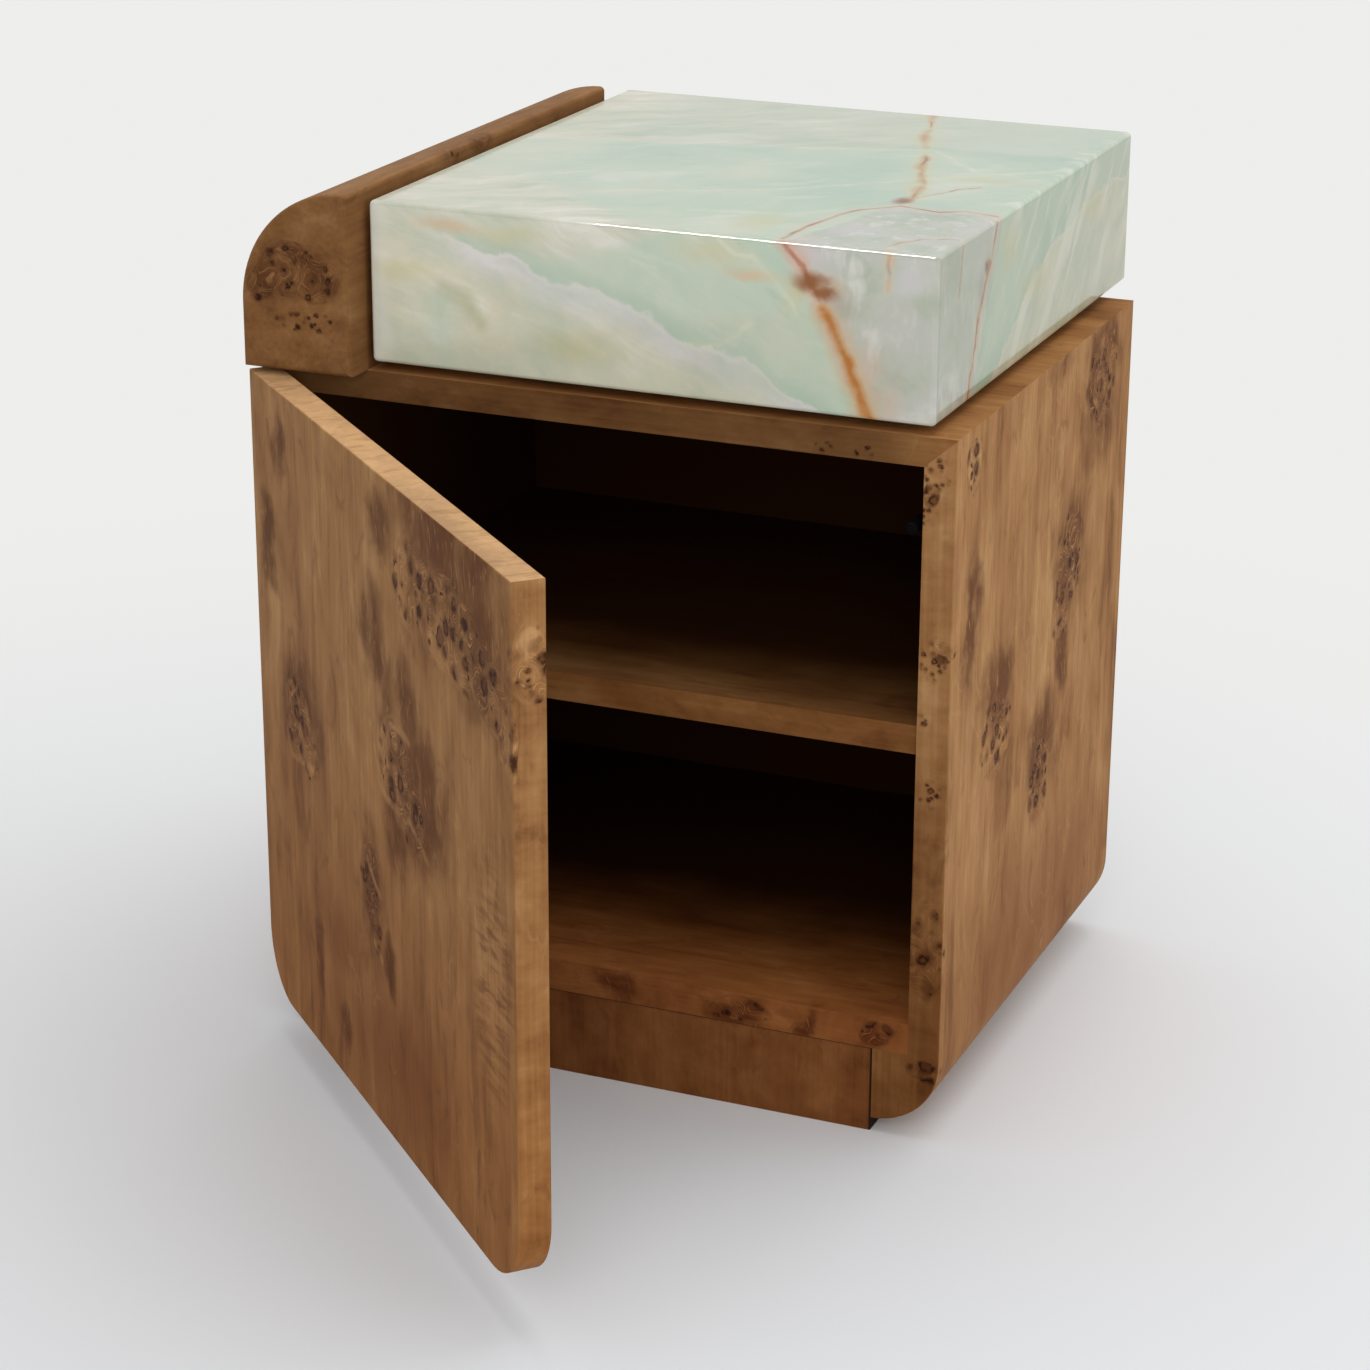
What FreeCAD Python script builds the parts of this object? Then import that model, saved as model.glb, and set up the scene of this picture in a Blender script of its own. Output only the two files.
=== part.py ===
import FreeCAD, Part
import math
import os
import Sketcher

# Storage side table: a veneered cabinet with a hinged door, a curved upstand and a stone top.
# Millimetres. X runs from the hinge side to the latch side, Y from the front to the back, Z up.
# The origin lies on the floor under the middle of the cabinet.

SIZES = {
    # Cabinet
    "body_width": 400.0,
    "body_depth": 316.0,
    "body_top": 396.0,
    "plinth_height": 50.0,
    "foot_gap": 8.0,
    "corner_radius": 38.0,
    "side_thk": 18.0,
    "top_thk": 16.0,
    "floor_thk": 18.0,
    "back_thk": 6.0,
    "rebate_depth": 8.0,
    "edge_ease": 1.0,
    # Loose tongues in the two top mitres
    "tongue_thk": 4.0,
    "tongue_width": 12.0,
    "tongue_stop": 20.0,
    # Dowels between the floor and the sides
    "dowel_radius": 4.0,
    "dowel_length": 30.0,
    "dowel_in_side": 11.0,
    "dowel_spacing": 110.0,
    "dowel_end_gap": 1.0,
    # Shelf and its pins
    "shelf_thk": 16.0,
    "shelf_rise": 170.0,
    "shelf_setback": 4.0,
    "shelf_gap": 0.5,
    "pin_radius": 2.5,
    "pin_depth": 9.0,
    "pin_inset": 45.0,
    "tab_length": 10.0,
    "tab_width": 9.0,
    "tab_thk": 2.0,
    # Plinth frame
    "plinth_thk": 16.0,
    "plinth_setback": 1.0,
    "plinth_end_gap": 0.6,
    # Curved upstand
    "upstand_width": 65.0,
    "upstand_height": 99.0,
    "upstand_flat": 2.0,
    "upstand_edge": 3.0,
    # Stone top and its spacer
    "stone_side_inset": 13.0,
    "stone_overhang": 26.0,
    "stone_height": 88.0,
    "stone_edge": 3.0,
    "stone_gap": 3.0,
    "stone_lift": 5.0,
    "spacer_inset": 22.0,
    # Door
    "door_thk": 17.0,
    "door_gap": 2.0,
    "door_reveal": 3.0,
    "door_top_gap": 3.0,
    "door_bottom": 28.0,
    "door_round": 38.0,
    "open_angle": 43.5,
    # Pivot hinges
    "pivot_inset": 6.0,
    "pivot_depth": 7.0,
    "hinge_drop": 60.0,
    "hinge_rise": 68.0,
    "pivot_radius": 2.0,
    "pivot_half_length": 11.0,
    "eye_radius": 4.2,
    "arm_thk": 3.0,
    "arm_reach": 20.0,
    "arm_clearance": 0.5,
    "arm_root": 3.0,
    "leaf_thk": 3.0,
    "leaf_setback": 6.0,
    "leaf_length": 34.0,
    "leaf_height": 30.0,
    "block_skin": 2.2,
    "block_width": 30.0,
    "block_height": 26.0,
    "slot_end": 17.0,
    "slot_clearance": 0.4,
    # Touch latch and its strike
    "latch_drop": 33.0,
    "latch_thk": 11.0,
    "latch_tall": 14.0,
    "latch_length": 54.0,
    "latch_setback": 30.0,
    "latch_ear": 11.0,
    "latch_plate": 2.0,
    "bore_depth": 48.0,
    "plunger_radius": 3.2,
    "plunger_tail": 24.0,
    "tip_clearance": 0.3,
    "spring_radius": 2.4,
    "spring_wire": 0.4,
    "spring_turns": 9.0,
    "strike_radius": 7.0,
    "strike_thk": 1.2,
    # Bumper dots on the door
    "bumper_radius": 3.5,
    "bumper_inset": 6.0,
    "bumper_top_drop": 14.0,
    "bumper_bottom_rise": 50.0,
    # Screws
    "head_height": 2.0,
    "fine_radius": 1.5,
    "fine_head": 3.0,
    "hinge_screw_length": 14.0,
    "block_screw_length": 44.0,
    "block_screw_back": 4.5,
    "block_screw_spread": 9.0,
    "leaf_screw_spread": 8.0,
    "leaf_screw_inset": 9.0,
    "back_screw_length": 16.0,
    "latch_screw_length": 13.0,
    "stout_radius": 2.0,
    "stout_head": 4.0,
    "upstand_screw_length": 50.0,
    "spacer_screw_length": 19.0,
    "plinth_screw_length": 40.0,
    "counterbore_radius": 5.0,
    "counterbore_depth": 22.0,
    "back_screw_end": 40.0,
    # Fits
    "running_gap": 0.05,
    "press_gap": 0.02,
    "drive_gap": 0.1,
    "overrun": 1.0,
}

NEAR = 1e-4
LEFT = -1
RIGHT = 1

doc = FreeCAD.newDocument("storage_side_table")
sheet = doc.addObject("Spreadsheet::Sheet", "dims")
for row, (alias, length) in enumerate(SIZES.items(), 1):
    sheet.set(f"A{row}", alias)
    sheet.set(f"B{row}", str(length))
    sheet.setAlias(f"B{row}", alias)
doc.recompute()


class Size:
    """A length or angle: its value now, and the formula that ties it to the sheet."""

    def __init__(self, value, formula):
        self.value = value
        self.formula = formula

    def joined(self, other, sign, value):
        return Size(value, f"({self.formula} {sign} {as_size(other).formula})")

    def __add__(self, other):
        return self.joined(other, "+", self.value + as_size(other).value)

    def __sub__(self, other):
        return self.joined(other, "-", self.value - as_size(other).value)

    def __mul__(self, other):
        return self.joined(other, "*", self.value * as_size(other).value)

    def __truediv__(self, other):
        return self.joined(other, "/", self.value / as_size(other).value)

    def __neg__(self):
        return self * -1


def as_size(number):
    return number if isinstance(number, Size) else Size(number, f"({number})")


def root(size):
    return Size(math.sqrt(size.value), f"sqrt({size.formula})")


class Sheet:
    """The sheet's sizes as attributes: d.side_thk is the cell called side_thk."""

    def __getattr__(self, name):
        return Size(SIZES[name], f"dims.{name}")


d = Sheet()
ZERO = as_size(0)
nodes = []


def bind(thing, prop, size):
    thing.setExpression(prop, as_size(size).formula)


def place(thing, at, swung=False):
    """Put a piece at a point; what the door carries is also swung open about the pivot."""
    angle = -d.open_angle if swung else ZERO
    turn = FreeCAD.Rotation(FreeCAD.Vector(0, 0, 1), angle.value)
    thing.Placement = FreeCAD.Placement(FreeCAD.Vector(*[part.value for part in at]), turn)
    for axis, part in zip("xyz", at):
        bind(thing, f"Placement.Base.{axis}", part)
    if swung:
        bind(thing, "Placement.Rotation.Angle", angle)


def new_body(name, at=None, swung=False):
    body = doc.addObject("PartDesign::Body", name)
    body.Label = name
    if at:
        place(body, at, swung)
    nodes.append(body)
    return body


def new_sketch(body, name, plane, start):
    """A sketch on one of the body's own planes, shifted along that plane's axis to start."""
    role = f"{plane}_Plane"
    support = [item for item in body.Origin.OriginFeatures if item.Role == role][0]
    sketch = body.newObject("Sketcher::SketchObject", name)
    sketch.AttachmentSupport = [(support, "")]
    sketch.MapMode = "FlatFace"
    bind(sketch, "AttachmentOffset.Base.z", -start if plane == "XZ" else start)
    return sketch


def fix_point(sketch, item, point, x, y):
    for kind, part in (("DistanceX", x), ("DistanceY", y)):
        index = sketch.addConstraint(Sketcher.Constraint(kind, -1, 1, item, point, part.value))
        bind(sketch, f"Constraints[{index}]", part)


def arc_between(start, end, centre):
    """The shorter arc about a centre, and whether it runs backwards from end to start."""
    turn = [math.atan2(p.y - centre.y, p.x - centre.x) for p in (start, end)]
    backwards = (turn[1] - turn[0]) % (2 * math.pi) > math.pi
    first, last = (turn[1], turn[0]) if backwards else (turn[0], turn[1])
    circle = Part.Circle(centre, FreeCAD.Vector(0, 0, 1), start.distanceToPoint(centre))
    return Part.ArcOfCircle(circle, first, last), backwards


def draw_path(sketch, path):
    """A closed outline. A corner is (x, y), or (x, y, centre x, centre y) where an arc leaves it."""
    path = [[as_size(part) for part in corner] for corner in path]
    ends = []
    for index, corner in enumerate(path):
        following = path[(index + 1) % len(path)]
        start = FreeCAD.Vector(corner[0].value, corner[1].value, 0)
        end = FreeCAD.Vector(following[0].value, following[1].value, 0)
        backwards = False
        if len(corner) > 2:
            centre = FreeCAD.Vector(corner[2].value, corner[3].value, 0)
            curve, backwards = arc_between(start, end, centre)
        else:
            curve = Part.LineSegment(start, end)
        sketch.addGeometry(curve, False)
        ends.append((2, 1) if backwards else (1, 2))
    for index, corner in enumerate(path):
        following = (index + 1) % len(path)
        link = Sketcher.Constraint("Coincident", index, ends[index][1], following, ends[following][0])
        sketch.addConstraint(link)
        fix_point(sketch, index, ends[index][0], corner[0], corner[1])
        if len(corner) > 2:
            place_x = sketch.addConstraint(
                Sketcher.Constraint("DistanceX", -1, 1, index, 3, corner[2].value)
            )
            bind(sketch, f"Constraints[{place_x}]", corner[2])


def draw_circles(sketch, centres, radius):
    for index, (x, y) in enumerate(centres):
        x, y = as_size(x), as_size(y)
        centre = FreeCAD.Vector(x.value, y.value, 0)
        sketch.addGeometry(Part.Circle(centre, FreeCAD.Vector(0, 0, 1), radius.value), False)
        fix_point(sketch, index, 3, x, y)
        size = sketch.addConstraint(Sketcher.Constraint("Radius", index, radius.value))
        bind(sketch, f"Constraints[{size}]", radius)


def add_feature(body, kind, name, sketch, length, reversed_way):
    before = body.Shape.Volume if body.Tip else 0
    feature = body.newObject(f"PartDesign::{kind}", name)
    feature.Profile = sketch
    feature.Reversed = reversed_way
    bind(feature, "Length", length)
    doc.recompute()
    grew = body.Shape.Volume > before
    if grew != (kind == "Pad"):
        raise RuntimeError(f"{name} in {body.Label} goes the wrong way")
    return feature


def pad(body, name, plane, path, start, end):
    """Raise an outline drawn on a plane from start to end along that plane's axis."""
    start, end = as_size(start), as_size(end)
    sketch = new_sketch(body, f"{name}_outline", plane, start)
    draw_path(sketch, path)
    return add_feature(body, "Pad", name, sketch, end - start, plane == "XZ")


def cut(body, name, plane, path, start, end):
    start, end = as_size(start), as_size(end)
    sketch = new_sketch(body, f"{name}_outline", plane, start)
    draw_path(sketch, path)
    return add_feature(body, "Pocket", name, sketch, end - start, plane != "XZ")


def drill(body, name, plane, centres, radius, start, end):
    start, end = as_size(start), as_size(end)
    sketch = new_sketch(body, f"{name}_circles", plane, start)
    draw_circles(sketch, centres, radius)
    return add_feature(body, "Pocket", name, sketch, end - start, plane != "XZ")


def pad_discs(body, name, plane, centres, radius, start, end):
    start, end = as_size(start), as_size(end)
    sketch = new_sketch(body, f"{name}_circles", plane, start)
    draw_circles(sketch, centres, radius)
    return add_feature(body, "Pad", name, sketch, end - start, plane == "XZ")


def rectangle(x0, y0, x1, y1):
    return [(x0, y0), (x1, y0), (x1, y1), (x0, y1)]


def round_edges(body, name, radius, chosen):
    base = body.Tip
    edges = [f"Edge{i}" for i, edge in enumerate(base.Shape.Edges, 1) if chosen(edge)]
    fillet = body.newObject("PartDesign::Fillet", name)
    fillet.Base = (base, edges)
    bind(fillet, "Radius", radius)
    doc.recompute()
    return fillet


def lies_at(edge, axis, size):
    return all(abs(getattr(point.Point, axis) - size.value) < NEAR for point in edge.Vertexes)


DIRECTIONS = {
    "+X": FreeCAD.Vector(1, 0, 0),
    "-X": FreeCAD.Vector(-1, 0, 0),
    "+Y": FreeCAD.Vector(0, 1, 0),
    "-Y": FreeCAD.Vector(0, -1, 0),
    "+Z": FreeCAD.Vector(0, 0, 1),
}


def screw(name, way, at, radius, head, length):
    """A countersunk screw: its head's face is centred at a point and it is driven the given way."""
    cone = doc.addObject("Part::Cone", f"{name}_head")
    bind(cone, "Radius1", head)
    bind(cone, "Radius2", radius)
    bind(cone, "Height", d.head_height)
    shank = doc.addObject("Part::Cylinder", f"{name}_shank")
    bind(shank, "Radius", radius)
    bind(shank, "Height", length - d.head_height)
    bind(shank, "Placement.Base.z", d.head_height)
    whole = doc.addObject("Part::Fuse", name)
    whole.Base = cone
    whole.Tool = shank
    turn = FreeCAD.Rotation(FreeCAD.Vector(0, 0, 1), DIRECTIONS[way])
    whole.Placement = FreeCAD.Placement(FreeCAD.Vector(), turn)
    for axis, part in zip("xyz", at):
        bind(whole, f"Placement.Base.{axis}", part)
    return whole


def group(name, solids, at=None, swung=False):
    """Like pieces that share a node, each a separate solid."""
    compound = doc.addObject("Part::Compound", name)
    compound.Label = name
    compound.Links = solids
    if at:
        place(compound, at, swung)
    nodes.append(compound)
    return compound


def screws(name, way, places, radius, head, length, at=None, swung=False):
    solids = [
        screw(f"{name}_{index}", way, [as_size(part) for part in spot], radius, head, length)
        for index, spot in enumerate(places, 1)
    ]
    return group(name, solids, at, swung)


def countersink(body, name, plane, centres, radius, head, face, inwards):
    """A tapered seat for screw heads whose faces lie at face and that go inwards (1 or -1)."""
    for index, centre in enumerate(centres, 1):
        near, far = as_size(face), as_size(face) + d.head_height * inwards
        wide = new_sketch(body, f"{name}_mouth_{index}", plane, near)
        draw_circles(wide, [centre], head)
        tight = new_sketch(body, f"{name}_throat_{index}", plane, far)
        draw_circles(tight, [centre], radius)
        before = body.Shape.Volume
        seat = body.newObject("PartDesign::SubtractiveLoft", f"{name}_{index}")
        seat.Profile = wide
        seat.Sections = [tight]
        doc.recompute()
        if body.Shape.Volume >= before:
            raise RuntimeError(f"{name} in {body.Label} cuts nothing")


# Places that several pieces share
half_width = d.body_width / 2
front = -d.body_depth / 2
back = d.body_depth / 2
inner_x = half_width - d.side_thk
floor_top = d.plinth_height + d.floor_thk
ceiling = d.body_top - d.top_thk
shelf_top = floor_top + d.shelf_rise
shelf_under = shelf_top - d.shelf_thk
back_face = back - d.back_thk
rebate_x = inner_x + d.rebate_depth
rebate_bottom = floor_top - d.rebate_depth
rebate_top = ceiling + d.rebate_depth
foot_x = half_width - d.corner_radius
plinth_x = foot_x - d.plinth_end_gap

pivot = (
    -half_width + d.door_reveal + d.pivot_inset,
    front - d.door_gap - d.door_thk + d.pivot_depth,
    ZERO,
)
door_left = -d.pivot_inset
door_right = door_left + d.body_width - d.door_reveal * 2
door_outer = -d.pivot_depth
door_inner = door_outer + d.door_thk
door_top = d.body_top - d.door_top_gap
hinge_heights = {
    "upper": door_top - d.hinge_drop,
    "lower": d.door_bottom + d.hinge_rise,
}
side_face = d.side_thk - d.door_reveal - d.pivot_inset
leaf_start = -pivot[1] + front + d.leaf_setback
leaf_end = leaf_start + d.leaf_length
latch_x = inner_x - d.latch_thk / 2
latch_height = ceiling - d.latch_drop
latch_front = front + d.latch_setback
latch_back = latch_front + d.latch_length

back_screw_low = rebate_bottom + d.rebate_depth / 2
back_screw_high = rebate_top - d.rebate_depth / 2
back_screw_side = rebate_x - d.rebate_depth / 2
back_side_heights = [
    rebate_bottom + d.back_screw_end,
    (rebate_bottom + rebate_top) / 2,
    rebate_top - d.back_screw_end,
]
back_row_places = [-inner_x + d.back_screw_end, ZERO, inner_x - d.back_screw_end]
dowel_places = [-d.dowel_spacing, ZERO, d.dowel_spacing]
dowel_height = d.plinth_height + d.floor_thk / 2

stone_left = -half_width + d.upstand_width + d.stone_gap
stone_right = half_width - d.stone_side_inset
stone_back = back + d.stone_overhang
stone_bottom = d.body_top + d.stone_lift
spacer_left = stone_left + d.spacer_inset
spacer_right = stone_right - d.spacer_inset
spacer_front = front + d.spacer_inset
spacer_back = back - d.spacer_inset
upstand_screw_x = -half_width + d.upstand_width / 2
upstand_screw_places = [(upstand_screw_x, y) for y in dowel_places]
spacer_screw_places = [
    (x, y)
    for x in (spacer_left + d.spacer_inset, spacer_right - d.spacer_inset)
    for y in (spacer_front + d.spacer_inset, spacer_back - d.spacer_inset)
]
rail_x = plinth_x - d.plinth_thk / 2
plinth_screw_rows = (-d.dowel_spacing, d.dowel_spacing)

# Corners of the tongue's section, square to the mitre that runs from the outer to the inner edge
mitre_length = root(d.side_thk * d.side_thk + d.top_thk * d.top_thk)
along_x = d.side_thk / mitre_length * d.tongue_thk / 2
along_z = d.top_thk / mitre_length * d.tongue_thk / 2
across_x = d.top_thk / mitre_length * d.tongue_width / 2
across_z = d.side_thk / mitre_length * d.tongue_width / 2
mitre_x = half_width - d.side_thk / 2
mitre_z = d.body_top - d.top_thk / 2
tongue_start = front + d.tongue_stop
tongue_end = back - d.tongue_stop


def tongue_section(side):
    corners = [(1, 1), (1, -1), (-1, -1), (-1, 1)]
    return [
        (
            (mitre_x + along_x * a + across_x * b) * side,
            mitre_z + along_z * a - across_z * b,
        )
        for a, b in corners
    ]


def cut_rebate(body):
    frame = rectangle(-rebate_x, rebate_bottom, rebate_x, rebate_top)
    cut(body, "back_rebate", "XZ", frame, back_face, back + d.overrun)


def drill_back_screws(body, places):
    drill(body, "back_screw_pilots", "XZ", places, d.fine_radius + d.running_gap,
          back - d.back_screw_length, back_face)


def side_panel(name, side):
    """An upright whose bottom sweeps inwards in a quarter round to make the foot."""
    body = new_body(name)
    outline = [
        (foot_x * side, d.foot_gap, foot_x * side, d.foot_gap + d.corner_radius),
        (half_width * side, d.foot_gap + d.corner_radius),
        (half_width * side, d.body_top),
        (inner_x * side, ceiling),
        (inner_x * side, d.plinth_height),
        (foot_x * side, d.plinth_height),
    ]
    pad(body, "board", "XZ", outline, front, back)
    outer = half_width * side

    def outer_end(edge):
        at_end = lies_at(edge, "y", front) or lies_at(edge, "y", back)
        return at_end and (edge.Curve.TypeId == "Part::GeomCircle" or lies_at(edge, "x", outer))

    round_edges(body, "outer_ease", d.edge_ease, outer_end)
    cut_rebate(body)
    cut(body, "tongue_groove", "XZ", tongue_section(side), tongue_start, tongue_end)
    inwards = sorted((inner_x * side, (inner_x + d.dowel_in_side + d.dowel_end_gap) * side),
                     key=lambda size: size.value)
    drill(body, "dowel_holes", "YZ", [(y, dowel_height) for y in dowel_places],
          d.dowel_radius + d.drive_gap, *inwards)
    pin_rows = [(y, shelf_under - d.tab_thk - d.pin_radius) for y in shelf_pin_rows]
    inwards = sorted((inner_x * side, (inner_x + d.pin_depth + d.dowel_end_gap) * side),
                     key=lambda size: size.value)
    drill(body, "shelf_pin_holes", "YZ", pin_rows, d.pin_radius + d.running_gap, *inwards)
    drill_back_screws(body, [(back_screw_side * side, z) for z in back_side_heights])
    return body


shelf_front = front + d.shelf_setback
shelf_back = back_face - d.shelf_gap
shelf_pin_rows = (shelf_front + d.pin_inset, shelf_back - d.pin_inset)
left_side = side_panel("left_side_panel", LEFT)
right_side = side_panel("right_side_panel", RIGHT)

hinge_screw_reach = d.hinge_screw_length - d.leaf_thk
for level, height in hinge_heights.items():
    spots = [
        (front + d.leaf_setback + d.leaf_screw_inset, height + d.leaf_screw_spread),
        (front + d.leaf_setback + d.leaf_length - d.leaf_screw_inset, height - d.leaf_screw_spread),
    ]
    drill(left_side, f"{level}_hinge_pilots", "YZ", spots, d.fine_radius + d.running_gap,
          -inner_x - hinge_screw_reach, -inner_x)

latch_screw_rows = (latch_front - d.latch_ear / 2, latch_back + d.latch_ear / 2)
drill(right_side, "latch_pilots", "YZ", [(y, latch_height) for y in latch_screw_rows],
      d.fine_radius + d.running_gap, inner_x, inner_x + d.latch_screw_length - d.latch_plate)

# Top board, mitred into both sides
top = new_body("top_panel")
pad(top, "board", "XZ", [
    (-half_width, d.body_top),
    (-inner_x, ceiling),
    (inner_x, ceiling),
    (half_width, d.body_top),
], front, back)
cut_rebate(top)
for side, label in ((LEFT, "left"), (RIGHT, "right")):
    cut(top, f"{label}_tongue_groove", "XZ", tongue_section(side), tongue_start, tongue_end)
drill(top, "upstand_screw_holes", "XY", upstand_screw_places, d.stout_radius + d.drive_gap,
      ceiling, d.body_top)
countersink(top, "upstand_screw_seat", "XY", upstand_screw_places, d.stout_radius + d.drive_gap,
            d.stout_head + d.drive_gap, ceiling, 1)
drill(top, "spacer_screw_holes", "XY", spacer_screw_places, d.fine_radius + d.drive_gap,
      ceiling, d.body_top)
countersink(top, "spacer_screw_seat", "XY", spacer_screw_places, d.fine_radius + d.drive_gap,
            d.fine_head + d.drive_gap, ceiling, 1)
drill_back_screws(top, [(x, back_screw_high) for x in back_row_places])

# Floor board, doweled between the sides and resting on the feet and the plinth
floor = new_body("floor_panel")
pad(floor, "board", "XZ", rectangle(-inner_x, d.plinth_height, inner_x, floor_top), front, back)
cut_rebate(floor)
dowel_hole_end = d.dowel_length - d.dowel_in_side + d.dowel_end_gap
for start, end, label in (
    (inner_x - dowel_hole_end, inner_x, "right"),
    (-inner_x, -inner_x + dowel_hole_end, "left"),
):
    drill(floor, f"{label}_dowel_holes", "YZ", [(y, dowel_height) for y in dowel_places],
          d.dowel_radius + d.drive_gap, start, end)
plinth_screw_places = [(rail_x * side, y) for side in (LEFT, RIGHT) for y in plinth_screw_rows]
plinth_screw_top = d.counterbore_depth + d.plinth_screw_length
drill(floor, "plinth_screw_pilots", "XY", plinth_screw_places, d.stout_radius + d.running_gap,
      d.plinth_height, plinth_screw_top)
drill_back_screws(floor, [(x, back_screw_low) for x in back_row_places])

# Back panel in its rebate
back_panel = new_body("back_panel")
pad(back_panel, "board", "XZ", rectangle(-rebate_x, rebate_bottom, rebate_x, rebate_top),
    back_face, back)
back_screw_places = [(x, z) for x in back_row_places for z in (back_screw_low, back_screw_high)]
back_screw_places += [(back_screw_side * side, z) for side in (LEFT, RIGHT) for z in back_side_heights]
drill(back_panel, "screw_holes", "XZ", back_screw_places, d.fine_radius + d.drive_gap,
      back_face, back)
countersink(back_panel, "screw_seat", "XZ", back_screw_places, d.fine_radius + d.drive_gap,
            d.fine_head + d.drive_gap, back, -1)
screws("back_panel_screws", "-Y", [(x, back, z) for x, z in back_screw_places],
       d.fine_radius, d.fine_head, d.back_screw_length)


def tongues():
    solids = []
    for side, label in ((LEFT, "left"), (RIGHT, "right")):
        strip = doc.addObject("PartDesign::Body", f"{label}_tongue")
        pad(strip, f"{label}_strip", "XZ", tongue_section(side), tongue_start, tongue_end)
        solids.append(strip)
    return group("mitre_tongues", solids)


def rods(name, spots, radius, length):
    """Round rods along X, each given by its middle."""
    solids = []
    for index, (x, y, z) in enumerate(spots, 1):
        rod = doc.addObject("Part::Cylinder", f"{name}_{index}")
        bind(rod, "Radius", radius)
        bind(rod, "Height", length)
        rod.Placement = FreeCAD.Placement(
            FreeCAD.Vector(), FreeCAD.Rotation(FreeCAD.Vector(0, 0, 1), DIRECTIONS["+X"])
        )
        bind(rod, "Placement.Base.x", x - length / 2)
        bind(rod, "Placement.Base.y", y)
        bind(rod, "Placement.Base.z", z)
        solids.append(rod)
    return solids


tongues()
dowel_middle = inner_x + d.dowel_in_side - d.dowel_length / 2
dowel_spots = [(dowel_middle * side, y, dowel_height) for side in (LEFT, RIGHT) for y in dowel_places]
group("floor_dowels", rods("floor_dowel", dowel_spots, d.dowel_radius, d.dowel_length))

# Shelf on four pins, each a peg with a flat tab under the shelf
shelf = new_body("shelf")
pad(shelf, "board", "XY", rectangle(-inner_x + d.shelf_gap, shelf_front, inner_x - d.shelf_gap, shelf_back),
    shelf_under, shelf_top)


def shelf_pin(side, row, label):
    peg = doc.addObject("PartDesign::Body", f"shelf_pin_{label}")
    height = shelf_under - d.tab_thk - d.pin_radius
    ends = sorted(((inner_x + d.pin_depth) * side, (inner_x - d.tab_length) * side),
                  key=lambda size: size.value)
    pad_discs(peg, "peg", "YZ", [(row, height)], d.pin_radius, *ends)
    ends = sorted((inner_x * side, (inner_x - d.tab_length) * side), key=lambda size: size.value)
    tab = rectangle(row - d.tab_width / 2, shelf_under - d.tab_thk * 2,
                    row + d.tab_width / 2, shelf_under)
    pad(peg, "tab", "YZ", tab, *ends)
    return peg


group("shelf_pins", [
    shelf_pin(side, row, f"{side_label}_{row_label}")
    for side, side_label in ((LEFT, "left"), (RIGHT, "right"))
    for row, row_label in zip(shelf_pin_rows, ("front", "back"))
])

# Plinth frame: two long boards and three rails between them
plinth_front_y = front + d.plinth_setback
plinth_back_y = back - d.plinth_setback
for name, start, end in (
    ("plinth_front", plinth_front_y, plinth_front_y + d.plinth_thk),
    ("plinth_back", plinth_back_y - d.plinth_thk, plinth_back_y),
):
    board = new_body(name)
    pad(board, "board", "XY", rectangle(-plinth_x, start, plinth_x, end), ZERO, d.plinth_height)
for name, middle in (
    ("plinth_left_rail", -rail_x),
    ("plinth_centre_rail", ZERO),
    ("plinth_right_rail", rail_x),
):
    rail = new_body(name)
    pad(rail, "board", "XY", rectangle(
        middle - d.plinth_thk / 2,
        plinth_front_y + d.plinth_thk,
        middle + d.plinth_thk / 2,
        plinth_back_y - d.plinth_thk,
    ), ZERO, d.plinth_height)
    if middle is not ZERO:
        spots = [(middle, y) for y in plinth_screw_rows]
        drill(rail, "counterbores", "XY", spots, d.counterbore_radius, ZERO, d.counterbore_depth)
        drill(rail, "screw_holes", "XY", spots, d.stout_radius + d.drive_gap,
              d.counterbore_depth, d.plinth_height)
        countersink(rail, "screw_seat", "XY", spots, d.stout_radius + d.drive_gap,
                    d.stout_head + d.drive_gap, d.counterbore_depth, 1)
screws("plinth_screws", "+Z", [(x, y, d.counterbore_depth) for x, y in plinth_screw_places],
       d.stout_radius, d.stout_head, d.plinth_screw_length)

# Curved upstand, which also covers the top edge of the closed door
upstand = new_body("curved_upstand")
upstand_front = front - d.door_gap - d.door_thk
upstand_right = -half_width + d.upstand_width
upstand_top = d.body_top + d.upstand_height
upstand_round = d.upstand_width - d.upstand_flat
pad(upstand, "block", "XZ", [
    (-half_width, d.body_top),
    (upstand_right, d.body_top),
    (upstand_right, upstand_top),
    (-half_width + upstand_round, upstand_top,
     -half_width + upstand_round, upstand_top - upstand_round),
    (-half_width, upstand_top - upstand_round),
], upstand_front, back)


def upstand_soft_edge(edge):
    at_end = lies_at(edge, "y", upstand_front) or lies_at(edge, "y", back)
    top_corner = lies_at(edge, "x", upstand_right) and lies_at(edge, "z", upstand_top)
    return at_end or top_corner


round_edges(upstand, "soft_edges", d.upstand_edge, upstand_soft_edge)
drill(upstand, "screw_pilots", "XY", upstand_screw_places, d.stout_radius + d.running_gap,
      d.body_top, ceiling + d.upstand_screw_length)
screws("upstand_screws", "+Z", [(x, y, ceiling) for x, y in upstand_screw_places],
       d.stout_radius, d.stout_head, d.upstand_screw_length)

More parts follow.
